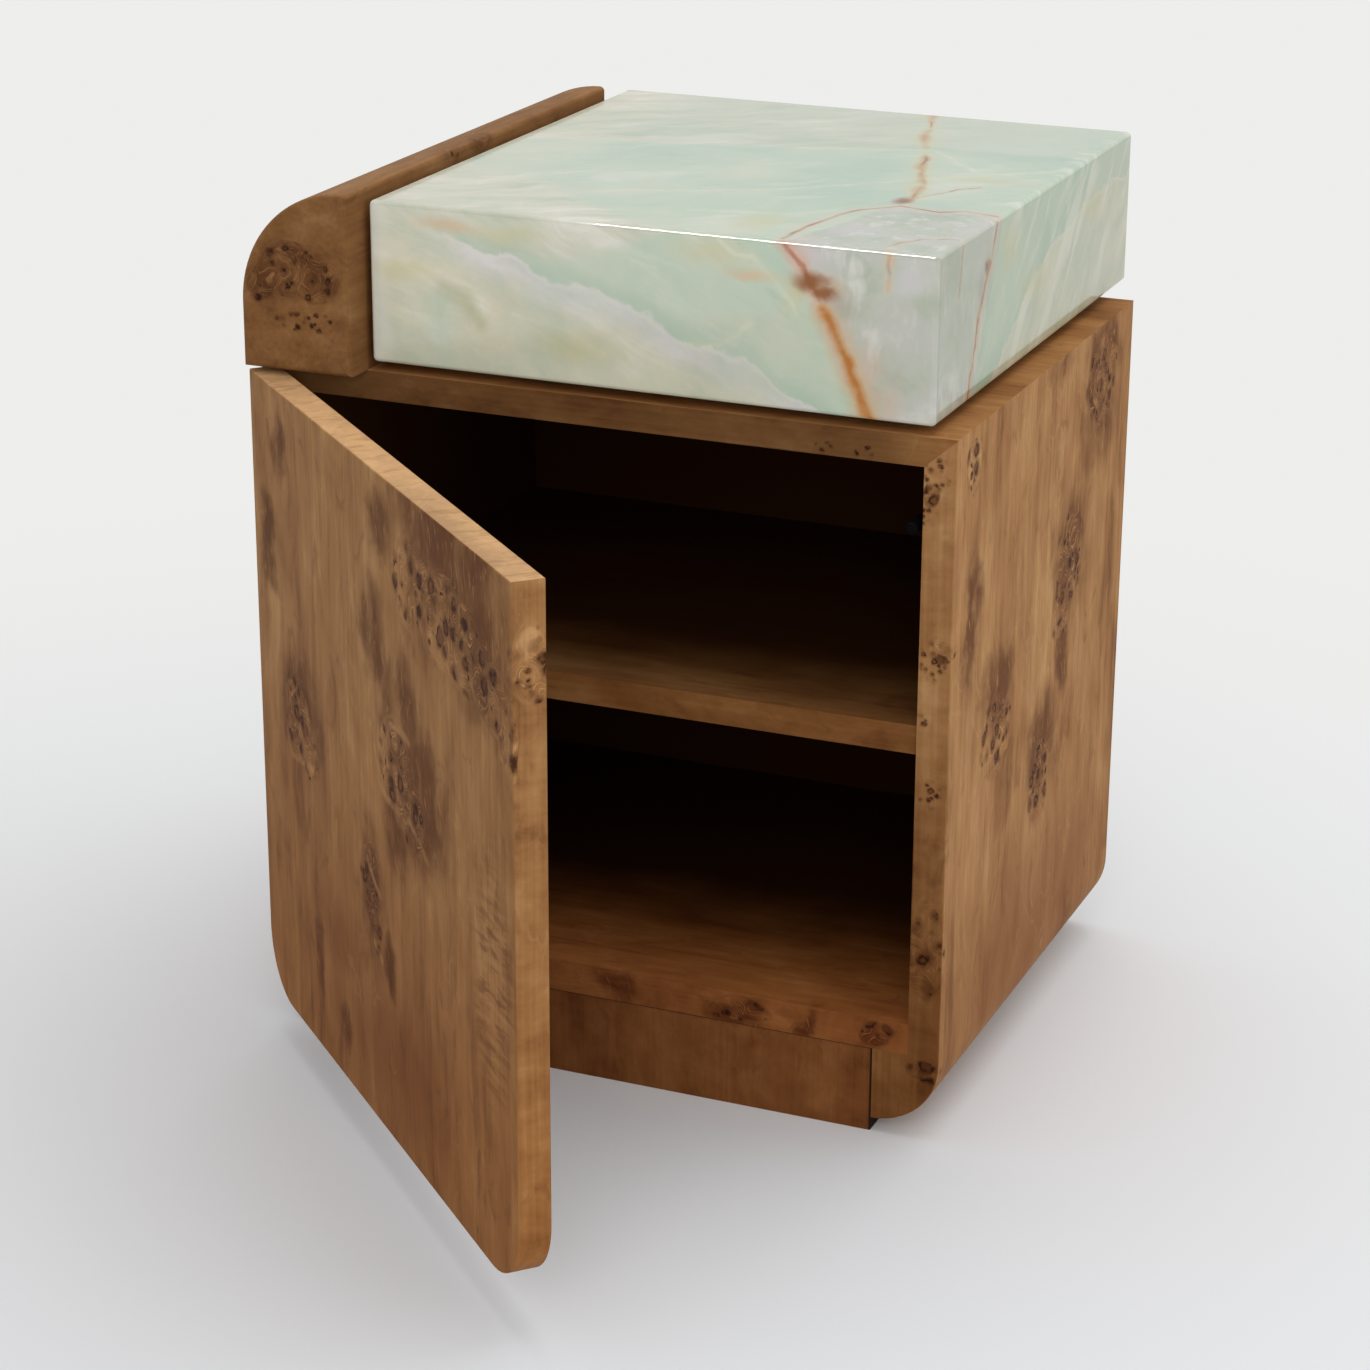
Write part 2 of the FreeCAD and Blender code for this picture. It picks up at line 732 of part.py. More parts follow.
# Stone block on a recessed spacer
spacer = new_body("stone_spacer")
pad(spacer, "board", "XY", rectangle(spacer_left, spacer_front, spacer_right, spacer_back),
    d.body_top, stone_bottom)
drill(spacer, "screw_pilots", "XY", spacer_screw_places, d.fine_radius + d.running_gap,
      d.body_top, ceiling + d.spacer_screw_length)
screws("spacer_screws", "+Z", [(x, y, ceiling) for x, y in spacer_screw_places],
       d.fine_radius, d.fine_head, d.spacer_screw_length)
stone = new_body("stone_block")
pad(stone, "block", "XY", rectangle(stone_left, front, stone_right, stone_back),
    stone_bottom, stone_bottom + d.stone_height)
round_edges(stone, "soft_edges", d.stone_edge, lambda edge: True)

# Door, drawn closed about the pivot axis and swung open by its placement
door = new_body("door_panel", pivot, swung=True)
pad(door, "board", "XZ", [
    (door_left + d.door_round, d.door_bottom),
    (door_right - d.door_round, d.door_bottom, door_right - d.door_round, d.door_bottom + d.door_round),
    (door_right, d.door_bottom + d.door_round),
    (door_right, door_top),
    (door_left, door_top),
    (door_left, d.door_bottom + d.door_round, door_left + d.door_round, d.door_bottom + d.door_round),
], door_outer, door_inner)
round_edges(door, "edge_ease", d.edge_ease,
            lambda edge: lies_at(edge, "y", door_outer) or lies_at(edge, "y", door_inner))
block_front = door_outer + d.block_skin
block_right = door_left + d.block_width
block_screw_y = block_front + (door_inner - block_front) / 2 + d.block_screw_back / 2
block_screw_ends = door_left + d.block_screw_length
strike_x = latch_x - pivot[0]
for level, height in hinge_heights.items():
    cut(door, f"{level}_hinge_mortise", "XZ", rectangle(
        door_left - d.overrun,
        height - d.block_height / 2 - d.drive_gap,
        block_right + d.drive_gap,
        height + d.block_height / 2 + d.drive_gap,
    ), block_front, door_inner + d.overrun)
    spots = [(block_screw_y, height + d.block_screw_spread * way) for way in (-1, 1)]
    drill(door, f"{level}_block_pilots", "YZ", spots, d.fine_radius + d.running_gap,
          block_right, block_screw_ends)
drill(door, "strike_recess", "XZ", [(strike_x, latch_height)], d.strike_radius + d.drive_gap,
      door_inner - d.strike_thk, door_inner)


def hinge_arm(name, height):
    """A leaf screwed to the side and a cranked arm whose eye turns on the pivot pin."""
    arm = new_body(name, (pivot[0], pivot[1], height))
    near_edge = side_face + d.arm_clearance
    half = d.arm_thk / 2
    pad(arm, "arm", "XY", [
        (ZERO, ZERO),
        (d.eye_radius, ZERO),
        (d.arm_reach, leaf_start - d.arm_root),
        (d.arm_reach, leaf_start + d.leaf_length / 2),
        (side_face, leaf_end),
        (side_face, leaf_start),
        (near_edge, leaf_start),
        (near_edge, leaf_start - d.leaf_setback - d.arm_clearance),
        (ZERO, d.eye_radius),
    ], -half, half)
    pad_discs(arm, "eye", "XY", [(ZERO, ZERO)], d.eye_radius, -half, half)
    pad(arm, "leaf", "YZ", rectangle(leaf_start, -d.leaf_height / 2, leaf_end, d.leaf_height / 2),
        side_face, side_face + d.leaf_thk)
    drill(arm, "eye_hole", "XY", [(ZERO, ZERO)], d.pivot_radius + d.running_gap, -half, half)
    spots = [
        (leaf_start + d.leaf_screw_inset, d.leaf_screw_spread),
        (leaf_end - d.leaf_screw_inset, -d.leaf_screw_spread),
    ]
    drill(arm, "screw_holes", "YZ", spots, d.fine_radius + d.drive_gap,
          side_face, side_face + d.leaf_thk)
    countersink(arm, "screw_seat", "YZ", spots, d.fine_radius + d.drive_gap,
                d.fine_head + d.drive_gap, side_face + d.leaf_thk, -1)
    return arm


def hinge_block(name, height):
    """The metal housing let into the door's hinge edge, slotted for the arm and bored for the pin."""
    block = new_body(name, pivot, swung=True)
    half = d.block_height / 2
    slot_half = d.arm_thk / 2 + d.slot_clearance
    pad(block, "housing", "XZ", rectangle(door_left, height - half, block_right, height + half),
        block_front, door_inner)
    cut(block, "slot", "XZ", rectangle(
        door_left - d.overrun, height - slot_half, d.slot_end, height + slot_half
    ), block_front - d.overrun, door_inner + d.overrun)
    drill(block, "pin_bore", "XY", [(ZERO, ZERO)], d.pivot_radius + d.press_gap,
          height - d.pivot_half_length, height + half)
    spots = [(block_screw_y, height + d.block_screw_spread * way) for way in (-1, 1)]
    drill(block, "screw_holes", "YZ", spots, d.fine_radius + d.drive_gap, door_left, block_right)
    countersink(block, "screw_seat", "YZ", spots, d.fine_radius + d.drive_gap,
                d.fine_head + d.drive_gap, door_left, 1)
    return block


def hinge_pin(name, height):
    pin = doc.addObject("Part::Cylinder", name)
    pin.Label = name
    bind(pin, "Radius", d.pivot_radius)
    bind(pin, "Height", d.pivot_half_length * 2)
    place(pin, (pivot[0], pivot[1], height - d.pivot_half_length), swung=True)
    nodes.append(pin)


leaf_screw_spots = []
block_screw_spots = []
leaf_screw_face = -inner_x + d.leaf_thk
for level, height in hinge_heights.items():
    hinge_arm(f"{level}_hinge_arm", height)
    hinge_block(f"{level}_hinge_block", height)
    hinge_pin(f"{level}_hinge_pin", height)
    leaf_screw_spots += [
        (leaf_screw_face, front + d.leaf_setback + d.leaf_screw_inset, height + d.leaf_screw_spread),
        (leaf_screw_face, front + d.leaf_setback + d.leaf_length - d.leaf_screw_inset,
         height - d.leaf_screw_spread),
    ]
    block_screw_spots += [
        (door_left, block_screw_y, height + d.block_screw_spread * way) for way in (-1, 1)
    ]
screws("hinge_arm_screws", "-X", leaf_screw_spots, d.fine_radius, d.fine_head, d.hinge_screw_length)
screws("hinge_block_screws", "+X", block_screw_spots, d.fine_radius, d.fine_head,
       d.block_screw_length, pivot, swung=True)

# Touch latch inside the right side: body, sprung plunger, coil spring and screws
latch = new_body("latch_body")
half_tall = d.latch_tall / 2
latch_floor = latch_front + d.bore_depth
plate_x = inner_x - d.latch_plate
pad(latch, "housing", "YZ", rectangle(
    latch_front, latch_height - half_tall, latch_back, latch_height + half_tall
), inner_x - d.latch_thk, inner_x)
pad(latch, "ears", "YZ", rectangle(
    latch_front - d.latch_ear, latch_height - half_tall,
    latch_back + d.latch_ear, latch_height + half_tall,
), plate_x, inner_x)
drill(latch, "plunger_bore", "XZ", [(latch_x, latch_height)], d.plunger_radius + d.drive_gap,
      latch_front, latch_floor)
latch_screw_places = [(y, latch_height) for y in latch_screw_rows]
drill(latch, "screw_holes", "YZ", latch_screw_places, d.fine_radius + d.drive_gap, plate_x, inner_x)
countersink(latch, "screw_seat", "YZ", latch_screw_places, d.fine_radius + d.drive_gap,
            d.fine_head + d.drive_gap, plate_x, 1)
screws("latch_screws", "+X", [(plate_x, y, z) for y, z in latch_screw_places],
       d.fine_radius, d.fine_head, d.latch_screw_length)

plunger_tip = front - d.door_gap + d.tip_clearance
plunger_end = latch_front + d.plunger_tail
plunger = new_body("latch_plunger")
pad_discs(plunger, "rod", "XZ", [(latch_x, latch_height)], d.plunger_radius,
          plunger_tip, plunger_end)
round_edges(plunger, "soft_tip", d.edge_ease, lambda edge: lies_at(edge, "y", plunger_tip))


def coil_spring():
    """The spring between the plunger's tail and the floor of its bore."""
    spring_length = latch_floor - plunger_end - d.spring_wire * 2
    helix = doc.addObject("Part::Helix", "spring_helix")
    bind(helix, "Radius", d.spring_radius)
    bind(helix, "Height", spring_length)
    bind(helix, "Pitch", spring_length / d.spring_turns)
    wire = doc.addObject("Part::Circle", "spring_wire_section")
    bind(wire, "Radius", d.spring_wire)
    wire.Placement = FreeCAD.Placement(
        FreeCAD.Vector(), FreeCAD.Rotation(FreeCAD.Vector(0, 0, 1), DIRECTIONS["-Y"])
    )
    bind(wire, "Placement.Base.x", d.spring_radius)
    coil = doc.addObject("Part::Sweep", "latch_spring")
    coil.Label = "latch_spring"
    coil.Sections = [wire]
    coil.Spine = (helix, [])
    coil.Solid = True
    coil.Frenet = True
    coil.Placement = FreeCAD.Placement(
        FreeCAD.Vector(), FreeCAD.Rotation(FreeCAD.Vector(0, 0, 1), DIRECTIONS["+Y"])
    )
    bind(coil, "Placement.Base.x", latch_x)
    bind(coil, "Placement.Base.y", plunger_end + d.spring_wire)
    bind(coil, "Placement.Base.z", latch_height)
    nodes.append(coil)


coil_spring()

# Strike and bumper dots on the door's inner face
strike = new_body("strike_plate", pivot, swung=True)
pad_discs(strike, "disc", "XZ", [(strike_x, latch_height)], d.strike_radius,
          door_inner - d.strike_thk, door_inner)

bumper_x = inner_x + d.bumper_inset - pivot[0]
bumper_heights = (door_top - d.bumper_top_drop, d.door_bottom + d.bumper_bottom_rise)
bumpers = []
for index, height in enumerate(bumper_heights, 1):
    dot = doc.addObject("PartDesign::Body", f"bumper_{index}")
    pad_discs(dot, "dot", "XZ", [(bumper_x, height)], d.bumper_radius,
              door_inner, door_inner + d.door_gap - d.tip_clearance)
    bumpers.append(dot)
group("door_bumpers", bumpers, pivot, swung=True)


def check_model():
    doc.recompute()
    for item in doc.Objects:
        if "Invalid" in item.State or "Error" in item.State:
            raise RuntimeError(f"{item.Label} failed to rebuild")
    for node in nodes:
        if node.Shape.isNull() or not node.Shape.isValid() or not node.Shape.Solids:
            raise RuntimeError(f"{node.Label} has no sound solid")


check_model()
os.makedirs("parts", exist_ok=True)
for node in nodes:
    node.Shape.exportStep(f"parts/{node.Label}.step")
print(len(nodes), "nodes,", sum(len(node.Shape.Solids) for node in nodes), "solids")
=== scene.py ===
"""The storage side table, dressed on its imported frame."""

import math
from functools import reduce

import bmesh
import bpy
from mathutils import Matrix, Vector


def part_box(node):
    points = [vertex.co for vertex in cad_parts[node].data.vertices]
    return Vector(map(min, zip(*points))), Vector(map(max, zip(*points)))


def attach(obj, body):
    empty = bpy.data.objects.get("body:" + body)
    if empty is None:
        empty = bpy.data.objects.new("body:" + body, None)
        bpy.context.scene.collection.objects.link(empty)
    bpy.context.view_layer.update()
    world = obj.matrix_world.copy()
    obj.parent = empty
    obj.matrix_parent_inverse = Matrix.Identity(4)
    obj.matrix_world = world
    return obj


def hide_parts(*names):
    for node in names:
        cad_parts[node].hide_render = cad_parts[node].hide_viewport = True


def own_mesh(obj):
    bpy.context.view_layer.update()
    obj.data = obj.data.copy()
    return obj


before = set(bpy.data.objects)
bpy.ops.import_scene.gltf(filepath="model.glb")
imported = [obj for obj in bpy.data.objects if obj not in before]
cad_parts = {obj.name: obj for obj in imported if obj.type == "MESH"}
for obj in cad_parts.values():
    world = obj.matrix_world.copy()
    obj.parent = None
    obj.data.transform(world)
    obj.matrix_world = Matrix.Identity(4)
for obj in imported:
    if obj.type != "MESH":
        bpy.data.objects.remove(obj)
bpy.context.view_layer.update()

# Places of the table that the materials follow, in metres
FRONT = -0.158
HALF_WIDTH = 0.2
INNER_HALF_WIDTH = 0.182
CEILING = 0.380
FLOOR_TOP = 0.068
STONE_TOP = 0.489
STONE_FRONT = -0.158
PIVOT = Vector((-0.191, -0.170, 0.0))
DOOR_ANGLE = math.radians(-43.5)
DOOR_FACE = -0.177
DOOR_MIDDLE = -0.168
DOOR_INSIDE = (-0.1616, -0.1604)
UPSTAND_FACE = -0.177
UPSTAND_INSIDE = (-0.150, -0.120)
STONE_RIGHT = 0.187
STONE_BACK = 0.184
BACK_PANEL_FACE = 0.152
PLINTH_END = 0.1614
PLINTH_TOP = 0.050

# Camera: a lens of the photograph's angle, placed by fitting the table's corners
CAMERA_PLACE = Vector((0.73716, -1.79634, 0.89832))
CAMERA_YAW = math.radians(22.72)
CAMERA_PITCH = math.radians(20.25)
CAMERA_ROLL = math.radians(0.29)
LENS_MM = 93.28
SENSOR_MM = 36.0
NEAREST = 0.05
FARTHEST = 60.0


def make_camera():
    data = bpy.data.cameras.new("camera")
    data.lens = LENS_MM
    data.sensor_width = SENSOR_MM
    data.clip_start = NEAREST
    data.clip_end = FARTHEST
    cam = bpy.data.objects.new("camera", data)
    bpy.context.scene.collection.objects.link(cam)
    back = Vector((
        math.sin(CAMERA_YAW) * math.cos(CAMERA_PITCH),
        -math.cos(CAMERA_YAW) * math.cos(CAMERA_PITCH),
        math.sin(CAMERA_PITCH),
    ))
    right = Vector((math.cos(CAMERA_YAW), math.sin(CAMERA_YAW), 0.0))
    up = back.cross(right)
    tilted_right = right * math.cos(CAMERA_ROLL) + up * math.sin(CAMERA_ROLL)
    tilted_up = up * math.cos(CAMERA_ROLL) - right * math.sin(CAMERA_ROLL)
    turn = Matrix((tilted_right, tilted_up, back)).transposed()
    cam.matrix_world = Matrix.Translation(CAMERA_PLACE) @ turn.to_4x4()
    bpy.context.scene.camera = cam


def linear(r, g, b):
    """A colour written as 0 to 255 display values, as the linear values that nodes take."""
    out = []
    for c in (r, g, b):
        c = c / 255
        out.append(c / 12.92 if c <= 0.04045 else ((c + 0.055) / 1.055) ** 2.4)
    return (*out, 1.0)


class Graph:
    """The nodes of a material or sky, built up by short calls. A value is a number, a tuple or a socket."""

    def __init__(self, name, kind="Material"):
        owners = bpy.data.worlds if kind == "World" else bpy.data.materials
        self.owner = owners.new(name)
        self.owner.use_nodes = True
        self.tree = self.owner.node_tree
        self.tree.nodes.clear()
        self.output = self.node("Output" + kind)

    def put(self, socket, value):
        if isinstance(value, bpy.types.NodeSocket):
            self.tree.links.new(value, socket)
        elif value is not None:
            socket.default_value = value

    def node(self, kind, **settings):
        made = self.tree.nodes.new("ShaderNode" + kind)
        for key, value in settings.items():
            setattr(made, key, value)
        return made

    def fill(self, made, **values):
        """Puts a value into each named input, with _ for a space in the name."""
        for key, value in values.items():
            self.put(made.inputs[key.replace("_", " ")], value)
        return made

    def row(self, made, *values):
        """Puts the values into the inputs in their order, and gives the first output."""
        for socket, value in zip(made.inputs, values):
            self.put(socket, value)
        return made.outputs[0]

    def math(self, operation, a, b=None):
        return self.row(self.node("Math", operation=operation), a, b)

    def add(self, *values):
        return reduce(lambda a, b: self.math("ADD", a, b), values)

    def sub(self, a, b):
        return self.math("SUBTRACT", a, b)

    def mul(self, *values):
        return reduce(lambda a, b: self.math("MULTIPLY", a, b), values)

    def most(self, a, b):
        return self.math("MAXIMUM", a, b)

    def least(self, a, b):
        return self.math("MINIMUM", a, b)

    def size(self, a):
        return self.math("ABSOLUTE", a)

    def vector(self, operation, a, b=None, scale=None):
        made = self.node("VectorMath", operation=operation)
        self.row(made, a, b)
        if scale is not None:
            self.put(made.inputs["Scale"], scale)
        return made.outputs["Value" if operation in ("LENGTH", "DOT_PRODUCT", "DISTANCE") else "Vector"]

    def parts(self, vector):
        made = self.node("SeparateXYZ")
        self.put(made.inputs[0], vector)
        return tuple(made.outputs)

    def joined(self, x, y, z=0.0):
        return self.row(self.node("CombineXYZ"), x, y, z)

    def step(self, value, start, end):
        """0 at start and 1 at end, eased, whichever of the two is the larger."""
        made = self.node("MapRange", interpolation_type="SMOOTHSTEP")
        return self.fill(made, Value=value, From_Min=start, From_Max=end).outputs["Result"]

    def noise(self, vector, scale=1.0, detail=2.0, roughness=0.5, distortion=0.0, colour=False):
        made = self.fill(
            self.node("TexNoise"), Vector=vector, Scale=scale, Detail=detail, Roughness=roughness,
            Distortion=distortion)
        return made.outputs["Color" if colour else "Fac"]

    def cells(self, vector, scale):
        return self.fill(self.node("TexVoronoi"), Vector=vector, Scale=scale)

    def ramp(self, value, stops):
        made = self.node("ValToRGB")
        self.put(made.inputs[0], value)
        elements = made.color_ramp.elements
        for place, colour in stops[2:]:
            elements.new(place)
        for element, (place, colour) in zip(elements, stops):
            element.position = place
            element.color = colour
        return made.outputs[0]

    def mix(self, amount, a, b, blend="MIX"):
        made = self.node("Mix", data_type="RGBA", blend_type=blend)
        self.put(made.inputs[0], amount)
        self.put(made.inputs[6], a)
        self.put(made.inputs[7], b)
        return made.outputs[2]

    def over(self, colour, amount, strength, shade):
        """The colour under the shade, which covers it by the amount times the strength."""
        return self.mix(self.mul(amount, strength), colour, shade)

    def coats(self, colour, reach, *rows):
        """Coats of colour along a line: where each starts and is full, its strength and its shade."""
        for start, full, strength, shade in rows:
            colour = self.over(colour, self.step(reach, start, full), strength, linear(*shade))
        return colour

    def warped(self, vector, scale, reach, detail=2.0):
        """The vector moved about by noise, by up to half of reach."""
        cloud = self.noise(vector, scale, detail, 0.5, colour=True)
        centred = self.vector("SUBTRACT", cloud, (0.5, 0.5, 0.5))
        return self.vector("ADD", vector, self.vector("SCALE", centred, scale=reach))

    def ellipsoids(self, vector, places, inner=0.55, outer=1.1):
        """1 inside any of the ellipsoids (centre, radii), falling to 0 outside them."""
        shares = []
        for centre, radii in places:
            offset = self.vector("SUBTRACT", vector, centre)
            distance = self.vector("LENGTH", self.vector("DIVIDE", offset, radii))
            shares.append(self.step(distance, outer, inner))
        return reduce(self.most, shares)

    def strand(self, vector, points, width):
        """The distance to a line through the points, in units of its width."""
        distances = []
        for start, end in zip(points, points[1:]):
            run = Vector(end) - Vector(start)
            offset = self.vector("SUBTRACT", vector, start)
            along = self.vector("DOT_PRODUCT", offset, tuple(run / run.length_squared))
            held = self.row(self.node("Clamp"), along)
            foot = self.vector("SCALE", tuple(run), scale=held)
            distances.append(self.vector("LENGTH", self.vector("SUBTRACT", offset, foot)))
        return self.mul(reduce(self.least, distances), 1.0 / width)

    def strands(self, vector, lines, width):
        """The least of the distances to several lines, in units of their width."""
        return reduce(self.least, [self.strand(vector, points, width) for points in lines])

    def profile(self, value, points):
        """A height read off a smooth line through the points, given by value and height."""
        first, last = points[0][0], points[-1][0]
        heights = [height for _, height in points]
        low, high = min(heights), max(heights)
        share = self.fill(self.node("MapRange"), Value=value, From_Min=first, From_Max=last)
        made = self.fill(self.node("FloatCurve"), Value=share.outputs["Result"])
        line = made.mapping.curves[0].points
        while len(line) < len(points):
            line.new(0.5, 0.5)
        for knot, (place, height) in zip(line, points):
            knot.location = ((place - first) / (last - first), (height - low) / (high - low))
        made.mapping.update()
        return self.add(low, self.mul(made.outputs[0], high - low))

    def bump(self, height, distance):
        return self.fill(self.node("Bump"), Height=height, Distance=distance).outputs[0]

    def place(self):
        return self.node("TexCoord").outputs["Object"]

    def facing(self, angle=0.0):
        """The surface's direction in the piece's own axes, turned back by angle."""
        normal = self.node("TexCoord").outputs["Normal"]
        if angle:
            made = self.node("VectorRotate", rotation_type="Z_AXIS")
            normal = self.fill(made, Vector=normal, Angle=-angle).outputs[0]
        return self.parts(normal)

    def turned(self, vector, pivot, angle):
        """The place as it would be with the piece turned back by angle about a vertical pivot."""
        made = self.node("Mapping", vector_type="TEXTURE")
        moved = pivot - Matrix.Rotation(angle, 3, "Z") @ pivot
        return self.fill(made, Vector=vector, Location=moved, Rotation=(0.0, 0.0, angle)).outputs[0]

    def finish(self, colour, roughness, normal=None, **constants):
        shader = self.fill(
            self.node("BsdfPrincipled"), Base_Color=colour, Roughness=roughness, Normal=normal, **constants)
        self.put(self.output.inputs["Surface"], shader.outputs[0])
        return self.owner

    def blend(self, amount, one, other):
        """Ends with one shader passing into the other by the amount."""
        mixed = self.row(self.node("MixShader"), amount, one.outputs[0], other.outputs[0])
        self.put(self.output.inputs["Surface"], mixed)


# How much each axis is squeezed so that the figure runs along the grain
GRAIN = {"x": (0.09, 1.0, 1.0), "y": (1.0, 0.09, 1.0), "z": (1.0, 1.0, 0.09)}
FINE_GRAIN = {"x": (0.012, 1.0, 1.0), "y": (1.0, 0.012, 1.0), "z": (1.0, 1.0, 0.012)}
MILD = {"x": (0.45, 1.0, 1.0), "y": (1.0, 0.45, 1.0), "z": (1.0, 1.0, 0.45)}

WOOD_DARK = linear(121, 81, 48)
WOOD_LOW = linear(147, 104, 64)
WOOD_MID = linear(162, 119, 76)
WOOD_HIGH = linear(182, 141, 96)
BLOTCH = linear(105, 67, 41)
SMOKE = linear(90, 51, 27)
EYE_RIM = linear(56, 30, 16)
EYE_CORE = linear(120, 78, 48)
EYE_PALE = linear(192, 146, 100)
RED_WOOD_SHADE = linear(124, 76, 46)
LIT_TOP_HONEY = linear(232, 194, 148)
INSIDE_SHADE_COLOUR = linear(60, 33, 14)
JOINT_LINE = linear(38, 22, 12)


def inside_shade(g, place, front_fade):
    """1 deep in the cabinet, where the boards darken to near black as painted shade, 0 on its outer faces.
    """
    x, y, z = g.parts(place)
    within = g.mul(
        g.step(g.size(x), INNER_HALF_WIDTH + 0.001, INNER_HALF_WIDTH + 0.0003),
        g.step(z, FLOOR_TOP - 0.002, FLOOR_TOP - 0.0005),
        g.step(z, CEILING + 0.001, CEILING + 0.0003),
    )
    drift = g.mul(g.sub(g.noise(place, 18.0, 3.0), 0.5), 0.05)
    depth = g.step(g.add(y, drift), FRONT + front_fade[0], FRONT + front_fade[1])
    return g.mul(within, depth, g.step(y, BACK_PANEL_FACE + 0.004, BACK_PANEL_FACE + 0.001))


def eyes(g, colour, shifted, mask, pitch, smallest, spread, share):
    """Dark knots in the cells where the mask is on: a soft dark rim round a browner middle."""
    wobble = g.warped(g.warped(shifted, 0.8 / pitch, pitch * 0.4), 2.6 / pitch, pitch * 0.35)
    cell = g.cells(wobble, 1.0 / pitch)
    chance = g.parts(cell.outputs["Color"])
    radius = g.add(smallest, g.mul(chance[0], spread))
    reach = g.sub(cell.outputs["Distance"], radius)
    keep = g.mul(mask, g.step(chance[1], share, share - 0.05))
    halo = g.mul(g.step(reach, 0.34, 0.02), keep, 0.60)
    broken = g.add(0.55, g.mul(g.step(g.noise(shifted, 2.2 / pitch, 2.0), 0.36, 0.52), 0.45))
    rim = g.mul(g.step(reach, 0.08, -0.06), keep, broken)
    core = g.mul(g.step(reach, -0.07, -0.17), keep, g.step(chance[2], 0.15, 0.50))
    colour = g.mix(halo, colour, BLOTCH)
    colour = g.over(colour, rim, 0.94, EYE_RIM)
    return g.over(colour, core, 0.80, EYE_CORE), rim


def slashes(g, soft, slope, scale, start, end):
    """Short pale strokes that lean across the grain of an upright face."""
    x, y, z = g.parts(soft)
    level = g.add(x, y)
    across = g.add(level, g.mul(z, slope))
    along = g.sub(z, g.mul(level, slope))
    return g.step(g.noise(g.joined(g.mul(across, 7.0), along), scale, 3.0, 0.6), start, end)


